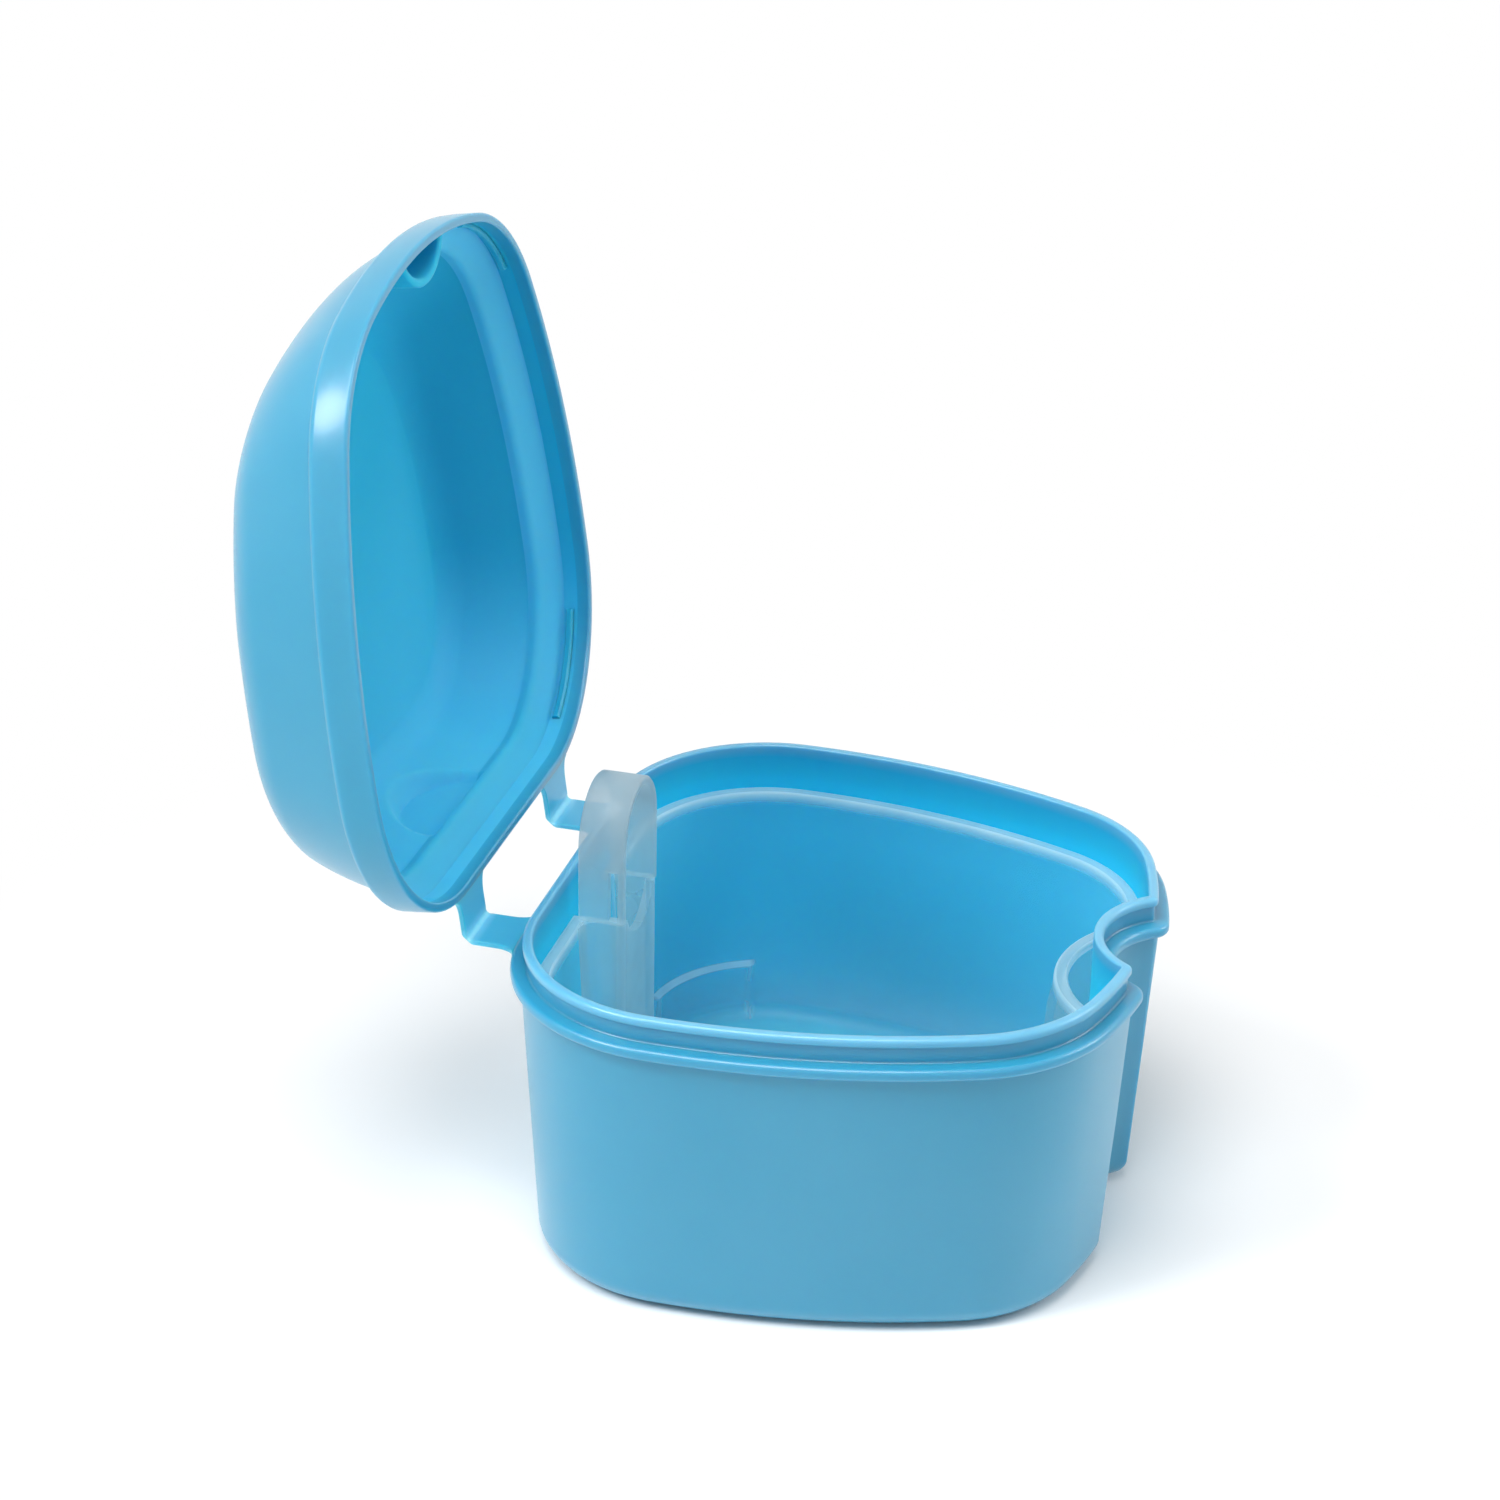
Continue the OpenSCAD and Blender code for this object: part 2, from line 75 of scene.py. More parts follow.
# The camera that took the photograph: its place in metres, its azimuth, elevation and roll in
# degrees, its focal length and the photograph's width in pixels, and a sensor's width in mm.
CAMERA_PLACE = (-0.481673, -0.111446, 0.311742)
CAMERA_TURN = (-75.112, 25.950, 1.094)
FOCAL_PIXELS, PHOTO_PIXELS, SENSOR = 3858.3, 1500, 36.0


# Sizes and colours that a user would change


def length(name, description, default):
    """A length property in metres from a value in millimetres."""
    return bpy.props.FloatProperty(
        name=name, description=description, default=default * MM, unit="LENGTH", precision=4)


def colour(name, description, hex_value):
    """A colour property, kept as the sRGB hex value a maker would write down."""
    return bpy.props.StringProperty(name=name, description=description, default=hex_value)


class OutlineSizes(bpy.types.PropertyGroup):
    """Outline of the lip, seen from above."""

    width: length("Width", "Greatest width of the lip", 90)
    length: length("Length", "Length of the lip from front to back", 86)
    back_r: length("Back corners", "Radius of the two back corners", 24.3)
    front_width: length("Front width", "Width across the two front corners", 76.6)
    front_r: length("Front corners", "Radius of the two front corners", 23.3)
    side_r: length("Sides", "Radius of the two long sides", 116)
    bow_r: length("Front bow", "Radius of the bowed front", 75)
    notch_r: length("Notch", "Radius of the thumb notch", 11.9)
    notch_deep: length("Notch depth", "Depth of the thumb notch", 6.6)
    notch_fillet: length("Notch corners", "Rounding of the two corners of the notch", 1.2)


class TubSizes(bpy.types.PropertyGroup):
    """The tub."""

    height: length("Height", "Height from the bottom to the top of the lip", 49)
    lip_h: length("Lip height", "Height of the lip above the flange", 3.9)
    lip_t: length("Lip thickness", "Thickness of the lip at its top", 1.45)
    bead_h: length("Bead height", "Height of the round bead on the lip", 1.3)
    bead_out: length("Bead", "How far the bead stands out from the lip", 0.5)
    flange_out: length("Flange", "How far the flange stands out beyond the lip", 1.8)
    flange_t: length("Flange thickness", "Thickness of the flange", 1.8)
    wall_out: length("Wall", "How far the wall stands out beyond the lip at its top", 0.36)
    wall_t: length("Wall thickness", "Thickness of the wall", 1.5)
    floor_t: length("Floor thickness", "Thickness of the floor", 1.8)
    foot_h: length("Foot height", "Height of the rounding at the foot of the wall", 3.9)
    foot_in: length("Foot width", "Width of the rounding at the foot of the wall", 4.6)
    lean: bpy.props.FloatProperty(
        name="Lean", description="Inward lean of the wall for each metre of height", default=0.058)


class LidSizes(bpy.types.PropertyGroup):
    """The lid, measured from its rim when it is shut."""

    deep: length("Depth", "Depth from the rim to the top of the dome", 22.6)
    rim_gap: length("Rim gap", "Gap between the closed rim and the flange", 0.2)
    skirt_deep: length("Skirt depth", "Depth of the outer skirt", 5.7)
    skirt_out: length("Skirt", "How far the skirt stands out beyond the lip", 2.5)
    thick: length("Thickness", "Thickness of the skirt and the dome", 1.4)
    dome_out: length("Dome", "How far the foot of the dome stands out beyond the lip", 0.44)
    round_h: length("Top rounding height", "Height of the rounding round the top", 5)
    round_in: length("Top rounding width", "Width of the rounding round the top", 5)
    front_slope: length("Front slope", "How far the front of the dome slopes back", 15.9)
    back_slope: length("Back slope", "How far the back of the dome slopes forward", 5.8)
    side_slope: length("Side slope", "How far the sides of the dome lean in at its top", 7.4)
    shoulder_deep: length("Shoulder depth", "Depth from the rim to the inner shoulder", 4.3)
    shoulder_h: length("Shoulder height", "Height of the sloping inner shoulder", 2.9)
    shoulder_in: length("Shoulder width", "How far the inner shoulder stands in from the dome", 0.8)
    snap_deep: length("Snap depth", "Depth from the rim to the snap bars", 2.7)
    notch_gap: length("Notch gap", "Gap between the notch wall and the lip", 2.3)
    notch_low: length("Notch wall depth", "Depth from the rim to the edge of the notch wall", 0.6)
    slope_power: bpy.props.FloatProperty(
        name="Slope power", description="How late the slopes set in", default=2.65)
    open_angle: bpy.props.FloatProperty(
        name="Open angle", description="Angle to which the lid stands open",
        default=radians(97.6), unit="ROTATION")


class StrapSizes(bpy.types.PropertyGroup):
    """The two folding straps."""

    apart: length("Distance", "Distance between the middles of the two straps", 38.6)
    width: length("Width", "Width at the fold", 8.8)
    root: length("Root width", "Width at the root", 12.6)
    thick: length("Thickness", "Thickness of a leaf", 0.8)
    fold: length("Fold thickness", "Thickness at the fold line", 0.45)
    fold_back: length("Fold distance", "Distance of the fold behind the lip", 8.4)


class BasketSizes(bpy.types.PropertyGroup):
    """The strainer basket and its handle."""

    drop: length("Drop", "Depth of the rim below the top of the lip", 7)
    rim_w: length("Rim width", "Width of the rim", 2.1)
    rim_t: length("Rim thickness", "Thickness of the rim", 1.3)
    wall_t: length("Wall thickness", "Thickness of the wall", 1.2)
    floor_t: length("Floor thickness", "Thickness of the floor", 1.2)
    notch: length("Notch clearance", "How far the basket stays clear of the notch", 3.4)
    corner_h: length("Corner height", "Height of the thick corners above the floor", 9)
    corner_t: length("Corner thickness", "Thickness added in the thick corners", 0.9)
    hole: length("Drain hole", "Diameter of the drain holes", 4)
    pitch: length("Hole distance", "Distance between the drain holes", 10)
    handle_w: length("Handle width", "Width of the loop handle", 17)
    handle_rise: length("Handle rise", "Height of the handle above the lip", 12.8)
    ribbon_w: length("Ribbon width", "Width of the handle from front to back", 7)
    ribbon_t: length("Ribbon thickness", "Thickness of the handle", 1.4)
    handle_back: length("Handle place", "Distance from the back of the lip to the handle", 3.1)
    finger_h: length("Finger hole", "Height of the finger hole", 22.5)
    slot_w: length("Slot width", "Width of the slot in the left leg", 1.5)
    slot_h: length("Slot height", "Height of the slot in the left leg", 8)
    slot_front: length("Slot strip", "Thickness of the strip in front of the slot", 0.9)


class CaseColours(bpy.types.PropertyGroup):
    """Colours as sRGB hex values."""

    blue: colour("Shell blue", "Body colour of the tub and the lid", "#2A96B8")
    # Painted light: the inner blue is a lit copy of the shell blue, painted inside the shells for the
    # light that comes through the wall.
    blue_lit: colour("Inner blue", "Inside of the shells, with the light that comes through", "#2CC8EA")
    # The pale blue is the plastic's own colour where it is bent, and a painted glow where the mark thin
    # is set.
    blue_pale: colour("Pale blue", "Where the plastic is thin or has been bent", "#A0DAF4")
    # Painted light: the strap blue is painted lighter than the shell blue, for the light that comes
    # through the thin straps.
    strap: colour("Strap blue", "The straps, thin enough to let light through", "#48B8D4")
    frost: colour("Frost", "The frosted basket", "#C2D2D8")
    # Painted light: the inner frost is the frost painted bluer, for the blue light round the basket in
    # the tub.
    frost_lit: colour("Inner frost", "The basket inside the tub, with blue light about it", "#D2ECF3")
    floor: colour("Floor", "Studio floor", "#F7F7F7")


GROUPS = {
    "case_outline": OutlineSizes,
    "case_tub": TubSizes,
    "case_lid": LidSizes,
    "case_strap": StrapSizes,
    "case_basket": BasketSizes,
    "case_colours": CaseColours,
}


# Shapes in plan and in section


def arc(centre, radius, start, stop, count):
    """Points along an arc, without the last one."""
    return [(centre[0] + radius * cos(start + (stop - start) * i / count),
             centre[1] + radius * sin(start + (stop - start) * i / count)) for i in range(count)]


def centres(o):
    """Centres of the arcs of the outline, for its right half."""
    half = o.length / 2
    back = (o.width / 2 - o.back_r, half - o.back_r)
    bow = (0.0, -half + o.bow_r)
    fx = o.front_width / 2 - o.front_r
    front = (fx, bow[1] - sqrt((o.bow_r - o.front_r) ** 2 - fx * fx))
    dx, dy = front[0] - back[0], front[1] - back[1]
    span = hypot(dx, dy)
    r1, r2 = o.side_r - o.back_r, o.side_r - o.front_r
    along = (r1 * r1 - r2 * r2 + span * span) / (2 * span)
    across = sqrt(r1 * r1 - along * along)
    ux, uy = dx / span, dy / span
    side = (back[0] + along * ux + across * uy, back[1] + along * uy - across * ux)
    notch = (0.0, -half + o.notch_deep - o.notch_r)
    return back, side, front, bow, notch


def ring(off, extra=0.0, fillet=0.4 * MM, notch=True):
    """The outline moved outward by off, as one closed ring of points, with the notch opened by
    extra."""
    o = bpy.context.scene.case_outline
    back, side, front, bow, dent = centres(o)
    a_back = atan2(back[1] - side[1], back[0] - side[0])
    a_front = atan2(front[1] - side[1], front[0] - side[0])
    a_bow = atan2(front[1] - bow[1], front[0] - bow[0])
    half = [(back[0] * i / 28, o.length / 2 + off) for i in range(28)]
    half += arc(back, o.back_r + off, pi / 2, a_back, 24)
    half += arc(side, o.side_r + off, a_back, a_front, 22)
    half += arc(front, o.front_r + off, a_front, a_bow, 20)
    if notch:
        nf = max(fillet, o.notch_fillet + off)
        r1, rn = o.bow_r + off - nf, o.notch_r - off + extra
        r2, gap = rn + nf, bow[1] - dent[1]
        t = (r2 * r2 - r1 * r1 + gap * gap) / (2 * gap)
        p = (sqrt(max(1e-8, r2 * r2 - t * t)), dent[1] + t)
        a_p = atan2(p[1] - bow[1], p[0] - bow[0])
        a_out = atan2(dent[1] - p[1], dent[0] - p[0])
        a_in = atan2(p[1] - dent[1], p[0] - dent[0])
        half += arc(bow, o.bow_r + off, a_bow, a_p, 8)
        half += arc(p, nf, a_p, a_out, 8)
        half += arc(dent, rn, a_in, pi / 2, 12)
        half.append((0.0, dent[1] + rn))
    else:
        half += arc(bow, o.bow_r + off, a_bow, -pi / 2, 28)
        half.append((0.0, bow[1] - o.bow_r - off))
    return half + [(-x, y) for x, y in half[-2:0:-1]]


def rounded(corners, steps=5):
    """A section line through corners (u, v) or (u, v, radius), with each radius worked in."""
    out = []
    for i, c in enumerate(corners):
        if len(c) == 2 or i in (0, len(corners) - 1):
            out.append(Vector(c[:2]))
            continue
        p, q, r = Vector(corners[i - 1][:2]), Vector(c[:2]), Vector(corners[i + 1][:2])
        a, b = (p - q).normalized(), (r - q).normalized()
        angle = acos(max(-1.0, min(1.0, a.dot(b))))
        reach = min(c[2] / max(1e-6, sin(angle / 2) / cos(angle / 2)),
                    (p - q).length * 0.49, (r - q).length * 0.49)
        radius = reach * sin(angle / 2) / cos(angle / 2)
        middle = q + (a + b).normalized() * (radius / sin(angle / 2))
        s, e = q + a * reach - middle, q + b * reach - middle
        turn = atan2(s.x * e.y - s.y * e.x, s.dot(e))
        for k in range(steps + 1):
            out.append(middle + Matrix.Rotation(turn * k / steps, 2) @ s)
    return out


def quarter(centre, width, height, start, stop, count):
    """A rounding in section: a quarter of an ellipse, with both its ends."""
    angles = [start + (stop - start) * k / count for k in range(count + 1)]
    return [(centre[0] + width * cos(a), centre[1] + height * sin(a)) for a in angles]


def ramp(value, start, stop):
    """0 up to start, 1 from stop on, and a straight line between."""
    return min(1.0, max(0.0, (value - start) / (stop - start)))


def smooth(share):
    """A share from 0 to 1, eased in and out."""
    return share * share * (3 - 2 * share)


def hinge_point():
    """A point on the fold axis of the straps."""
    s = bpy.context.scene
    return Vector((0, s.case_outline.length / 2 + s.case_strap.fold_back,
                   s.case_tub.height - s.case_tub.lip_h))


def rim_height():
    """Height of the rim of the shut lid."""
    s = bpy.context.scene
    return s.case_tub.height - s.case_tub.lip_h + s.case_lid.rim_gap


def basket_wall(z):
    """How far the outside of the basket's wall stands out beyond the lip, at the height z."""
    s = bpy.context.scene
    b, t = s.case_basket, s.case_tub
    under = t.height - b.drop - b.rim_t
    return -t.lip_t - BASKET_GAP - BASKET_STEP - BASKET_LEAN * (under - z)


def corner_angle(x, y):
    """Where a point of the basket lies along the nearest back corner, in degrees from the corner's
    side end, or 0 away from the two corners."""
    o = bpy.context.scene.case_outline
    if y <= 0 or abs(x) <= CORNER_START:
        return 0.0
    return degrees(atan2(y - o.length / 2 + o.back_r, abs(x) - o.width / 2 + o.back_r))


# Mesh building


def loft(bm, rings):
    """Extrudes the first closed ring of points through all the others, and fills the two ends."""
    order = bm.verts.layers.int.new("order")
    verts = [bm.verts.new(p) for p in rings[0]]
    for i, v in enumerate(verts):
        v[order] = i
    first = [bm.edges.new(pair) for pair in zip(verts, verts[1:] + verts[:1])]
    edges = first
    for points in rings[1:]:
        made = bmesh.ops.extrude_edge_only(bm, edges=edges)["geom"]
        new = {g for g in made if isinstance(g, bmesh.types.BMVert)}
        for v in new:
            v.co = points[v[order]]
        edges = [g for g in made if isinstance(g, bmesh.types.BMEdge) and set(g.verts) <= new]
    for loop in (first, edges):
        bmesh.ops.contextual_create(bm, geom=loop)


def outward(bm):
    """Merges doubles and points every face outward."""
    bmesh.ops.remove_doubles(bm, verts=bm.verts, dist=1e-7)
    bmesh.ops.recalc_face_normals(bm, faces=bm.faces)


def swing_open(bm):
    """Turns what was modelled shut into the open place of the lid."""
    turn = Matrix.Rotation(-bpy.context.scene.case_lid.open_angle, 3, "X")
    bmesh.ops.rotate(bm, cent=hinge_point(), matrix=turn, verts=bm.verts)


def box(bm, low, high):
    """Adds a box between two corners."""
    low, high = Vector(low), Vector(high)
    size = Matrix.Diagonal((*(high - low), 1))
    bmesh.ops.create_cube(bm, size=1, matrix=Matrix.Translation((low + high) / 2) @ size)


def new_object(name, bm):
    """Puts what was modelled in bm into the scene as an object."""
    mesh = bpy.data.meshes.new(name)
    bm.to_mesh(mesh)
    bm.free()
    obj = bpy.data.objects.new(name, mesh)
    bpy.context.scene.collection.objects.link(obj)
    return obj


def piece(name, bm, material, sharp=35.0):
    """A finished mesh object at the origin, smooth except over edges sharper than the angle."""
    obj = new_object(name, bm)
    obj.data.polygons.foreach_set("use_smooth", [True] * len(obj.data.polygons))
    obj.data.set_sharp_from_angle(angle=radians(sharp))
    obj.data.materials.append(material)
    return obj


def cut_out(obj, bm, sharp=35.0):
    """Cuts what was modelled in bm out of an object, for good."""
    cutter = new_object("cutter", bm)
    cut = obj.modifiers.new("Cut", "BOOLEAN")
    cut.operation, cut.solver, cut.object = "DIFFERENCE", "EXACT", cutter
    graph = bpy.context.evaluated_depsgraph_get()
    done = bpy.data.meshes.new_from_object(obj.evaluated_get(graph))
    obj.modifiers.clear()
    obj.data = done
    obj.data.set_sharp_from_angle(angle=radians(sharp))
    bpy.data.objects.remove(cutter)


def mark(bm, name, rule, points=1):
    """Stores a value for each vertex: inner says how much it counts as inside of a shell, which is
    duller and painted lighter for the light through the wall; thin how much painted glow makes the
    plastic paler there; and fold how much it was bent. The rule gives a value from 0 to 1 for the
    number of its ring, in a loft with so many points in a ring, and for its place."""
    layer = bm.verts.layers.float.new(name)
    for i, v in enumerate(bm.verts):
        v[layer] = rule(i // points, v.co)


def milky(obj, rule):
    """Stores how milky each vertex of a finished piece is: rule gives 0 to 1 for its place."""
    layer = obj.data.attributes.new("milk", "FLOAT", "POINT")
    layer.data.foreach_set("value", [rule(v.co) for v in obj.data.vertices])


# Materials


def linear(hex_value):
    """An sRGB hex value as linear red, green, blue and full alpha."""
    parts = [int(hex_value[i:i + 2], 16) / 255 for i in (1, 3, 5)]
    return (*[c / 12.92 if c <= 0.04045 else ((c + 0.055) / 1.055) ** 2.4 for c in parts], 1.0)


def add(tree, kind, at, links=None, **settings):
    """Adds one node, gives it its settings, and fills its inputs by name or number. A node given
    for an input stands for the first of its outputs that is in use."""
    node = tree.nodes.new("ShaderNode" + kind)
    node.location = at
    for key, value in settings.items():
        setattr(node, key, value)
    for key, value in (links or {}).items():
        if isinstance(value, bpy.types.Node):
            value = next(socket for socket in value.outputs if socket.enabled)
        if isinstance(value, bpy.types.NodeSocket):
            tree.links.new(value, node.inputs[key])
        else:
            node.inputs[key].default_value = value
    return node


def seen_ray(tree, at):
    """1 for the rays that show a surface to the eye, also by reflection or through glass."""
    path = add(tree, "LightPath", at)
    either = add(tree, "Math", (at[0] + 200, at[1]), {
        0: path.outputs["Is Camera Ray"], 1: path.outputs["Is Transmission Ray"]},
        operation="MAXIMUM")
    return add(tree, "Math", (at[0] + 400, at[1]), {
        0: either, 1: path.outputs["Is Glossy Ray"]}, operation="MAXIMUM")


def grain_bump(tree, place, scale, strength):
    """Fine grain that stands up to 0.1 mm high and roughens a surface."""
    grain = add(tree, "TexNoise", (-600, -300), {
        "Vector": place.outputs["Object"], "Scale": scale, "Detail": 2.0})
    return add(tree, "Bump", (-100, -300), {
        "Height": grain, "Strength": strength, "Distance": 0.1 * MM})


def new_material(name):
    """An empty material and its node tree, or None for the tree if the material is there."""
    old = bpy.data.materials.get(name)
    if old:
        return old, None
    material = bpy.data.materials.new(name)
    material.use_nodes = True
    material.node_tree.nodes.clear()
    return material, material.node_tree


def moulded_blue():
    """Polypropylene, injection moulded in a fine-blasted tool: satin, slightly waxy, and a little light
    gets into it, so the hollows turn deep blue. The glow of the edges and of the inside is painted
    light in the colour."""
    material, tree = new_material("moulded_polypropylene_blue")
    if tree is None:
        return material
    c = bpy.context.scene.case_colours
    place = add(tree, "TexCoord", (-900, 0))
    # Flow of the melt: cloudy shifts of tone about 30 mm across.
    cloud = add(tree, "TexNoise", (-600, 150), {
        "Vector": place.outputs["Object"], "Scale": 33.0, "Detail": 2.0, "Roughness": 0.5})
    shift = add(tree, "MapRange", (-450, 0), {
        "Value": cloud, **CLOUD_SPAN, "To Min": 0.0, "To Max": 0.05})
    tone = add(tree, "Mix", (-300, 150), {
        "Factor": shift, "A": linear(c.blue), "B": linear(c.blue_pale)}, data_type="RGBA")
    # Painted light: seen from inside, the wall is painted brighter and a purer blue, for the light that
    # comes through it. Where the mark thin is set, a painted glow makes it paler as well, for light
    # from behind.
    inner = add(tree, "Attribute", (-300, 400), attribute_name="inner").outputs["Fac"]
    thin = add(tree, "Attribute", (0, 400), attribute_name="thin").outputs["Fac"]
    for share, other, x in ((inner, c.blue_lit, 0), (thin, c.blue_pale, 150)):
        tone = add(tree, "Mix", (x, 200), {
            "Factor": share, "A": tone, "B": linear(other)}, data_type="RGBA")
    # Blasted surface of the tool: grain of about 0.5 mm, as coarse as it has to be to show.
    bump = grain_bump(tree, place, 2200.0, 0.05)
    rough = add(tree, "MapRange", (-300, -100), {
        "Value": cloud, **CLOUD_SPAN, "To Min": 0.33, "To Max": 0.4})
    # The inside was moulded on a duller core than the polished outside.
    duller = add(tree, "Math", (0, -100), {
        0: inner, 1: 0.14, 2: rough}, operation="MULTIPLY_ADD")
    coat = add(tree, "MapRange", (0, -500), {
        "Value": inner, "From Max": 0.5, "To Min": 0.5, "To Max": 0.0})
    shine = add(tree, "MapRange", (0, -700), {
        "Value": inner, "From Max": 0.5, "To Min": 0.5, "To Max": 0.1})
    shader = add(tree, "BsdfPrincipled", (300, 0), {
        "Base Color": tone, "Roughness": duller, "Normal": bump, "IOR": IOR,
        "Specular IOR Level": shine, "Coat Weight": coat, "Coat Roughness": 0.2, **WAXY})
    add(tree, "OutputMaterial", (900, 0), {"Surface": shader})
    return material


def bent_blue():
    """The same polypropylene where it is thin: the straps, whitened along the fold by bending."""
    material, tree = new_material("bent_polypropylene_blue")
    if tree is None:
        return material
    c = bpy.context.scene.case_colours
    place = add(tree, "TexCoord", (-900, -150))
    fold = add(tree, "Attribute", (-900, 200), attribute_name="fold")
    # Stress marks: streaks about 1 mm apart that break up the edge of the whitened line.
    streak = add(tree, "TexNoise", (-650, -100), {
        "Vector": place.outputs["Object"], "Scale": 900.0, "Detail": 2.0})
    broken = add(tree, "MapRange", (-450, -100), {"Value": streak, "To Min": 0.6, "To Max": 1.0})
    near = add(tree, "Math", (-450, 100), {
        0: fold.outputs["Fac"], 1: broken}, operation="MULTIPLY")
    # The strap blue under the fold whitening is painted lighter, for light through the thin strap; the
    # whitening along the fold is the plastic's own.
    tone = add(tree, "Mix", (-200, 100), {
        "Factor": near, "A": linear(c.strap), "B": linear(c.blue_pale)}, data_type="RGBA")
    shader = add(tree, "BsdfPrincipled", (300, 0), {
        "Base Color": tone, "Normal": grain_bump(tree, place, 2200.0, 0.05), "Roughness": 0.36,
        "IOR": IOR, "Coat Weight": 0.25, "Coat Roughness": 0.2, **WAXY})
    add(tree, "OutputMaterial", (900, 0), {"Surface": shader})
    return material


def frosted_clear():
    """Natural polypropylene without pigment: milky and see-through. One thin wall only veils the
    blue behind it; rims, folds and walls seen from the side look white. The attribute milk says
    how much plastic there is to look through."""
    material, tree = new_material("frosted_natural_polypropylene")
    if tree is None:
        return material
    c = bpy.context.scene.case_colours
    place = add(tree, "TexCoord", (-900, 0))
    # Milky clouds about 12 mm across, from uneven cooling.
    cloud = add(tree, "TexNoise", (-600, 0), {
        "Vector": place.outputs["Object"], "Scale": 80.0, "Detail": 2.0})
    rough = add(tree, "MapRange", (-300, -50), {
        "Value": cloud, **CLOUD_SPAN, "To Min": 0.28, "To Max": 0.36})
    uneven = add(tree, "MapRange", (-600, 150), {
        "Value": cloud, **CLOUD_SPAN, "To Min": 0.85, "To Max": 1.15})
    milk = add(tree, "Attribute", (-900, 300), attribute_name="milk")
    facing = add(tree, "LayerWeight", (-900, 500), {"Blend": 0.25})
    side_on = add(tree, "Math", (-600, 450), {
        0: facing.outputs["Facing"], 1: 0.16}, operation="MULTIPLY")
    body = add(tree, "Math", (-400, 250), {
        0: milk.outputs["Fac"], 1: uneven}, operation="MULTIPLY")
    opacity = add(tree, "Math", (-200, 350), {0: body, 1: side_on}, operation="ADD", use_clamp=True)
    # The milk spreads light rather than stopping it, so its shadow is faint.
    path = add(tree, "LightPath", (-400, 700))
    passed = add(tree, "Math", (-200, 600), {
        0: path.outputs["Is Shadow Ray"], 1: -0.75, 2: 1.0}, operation="MULTIPLY_ADD")
    opacity = add(tree, "Math", (0, 400), {0: opacity, 1: passed}, operation="MULTIPLY")
    # Painted light: below the lip the plastic is painted bluer, for the blue light from the walls round
    # it.
    height = add(tree, "SeparateXYZ", (-600, -550), {"Vector": place.outputs["Object"]})
    deep = add(tree, "MapRange", (-400, -550), {
        "Value": height.outputs["Z"], "From Min": 0.056, "From Max": 0.044})
    tone = add(tree, "Mix", (-200, -550), {
        "Factor": deep, "A": linear(c.frost), "B": linear(c.frost_lit)}, data_type="RGBA")
    # Grain of about 0.7 mm.
    front = add(tree, "BsdfPrincipled", (100, 0), {
        "Base Color": tone, "Roughness": rough, "Normal": grain_bump(tree, place, 1500.0, 0.04),
        "IOR": IOR})
    # Milk scatters as much light forward as it sends back.
    through = add(tree, "BsdfTranslucent", (100, -400), {"Color": tone})
    body = add(tree, "MixShader", (400, 0), {0: 0.5, 1: front, 2: through})
    clear = add(tree, "BsdfTransparent", (400, 200))
    shader = add(tree, "MixShader", (650, 0), {0: opacity, 1: clear, 2: body})
    add(tree, "OutputMaterial", (900, 0), {"Surface": shader})
    return material


def studio_floor():
    """Seamless paper under the case: matt, very slightly grained."""
    material, tree = new_material("matt_paper_floor")
    if tree is None:
        return material
    place = add(tree, "TexCoord", (-600, 0))
    paper = add(tree, "BsdfPrincipled", (100, 0), {
        "Base Color": linear(bpy.context.scene.case_colours.floor), "Roughness": 0.9,
        "Normal": grain_bump(tree, place, 600.0, 0.02)})
    # Away from the case the paper is seen as plain white; to the light it stays paper.
    white = add(tree, "Emission", (100, 200), {"Color": (1, 1, 1, 1), "Strength": 1.0})
    away = add(tree, "VectorMath", (-400, 400), {0: place.outputs["Object"]}, operation="LENGTH")
    fade = add(tree, "MapRange", (-200, 400), {
        "Value": away, "From Min": 0.06, "From Max": 0.17}, interpolation_type="SMOOTHSTEP")
    seen = add(tree, "Math", (100, 400), {
        0: fade, 1: seen_ray(tree, (-400, 650))}, operation="MULTIPLY")
    shader = add(tree, "MixShader", (500, 0), {0: seen, 1: paper, 2: white})
    add(tree, "OutputMaterial", (900, 0), {"Surface": shader})
    return material


# Operators, one for each piece or group of like pieces


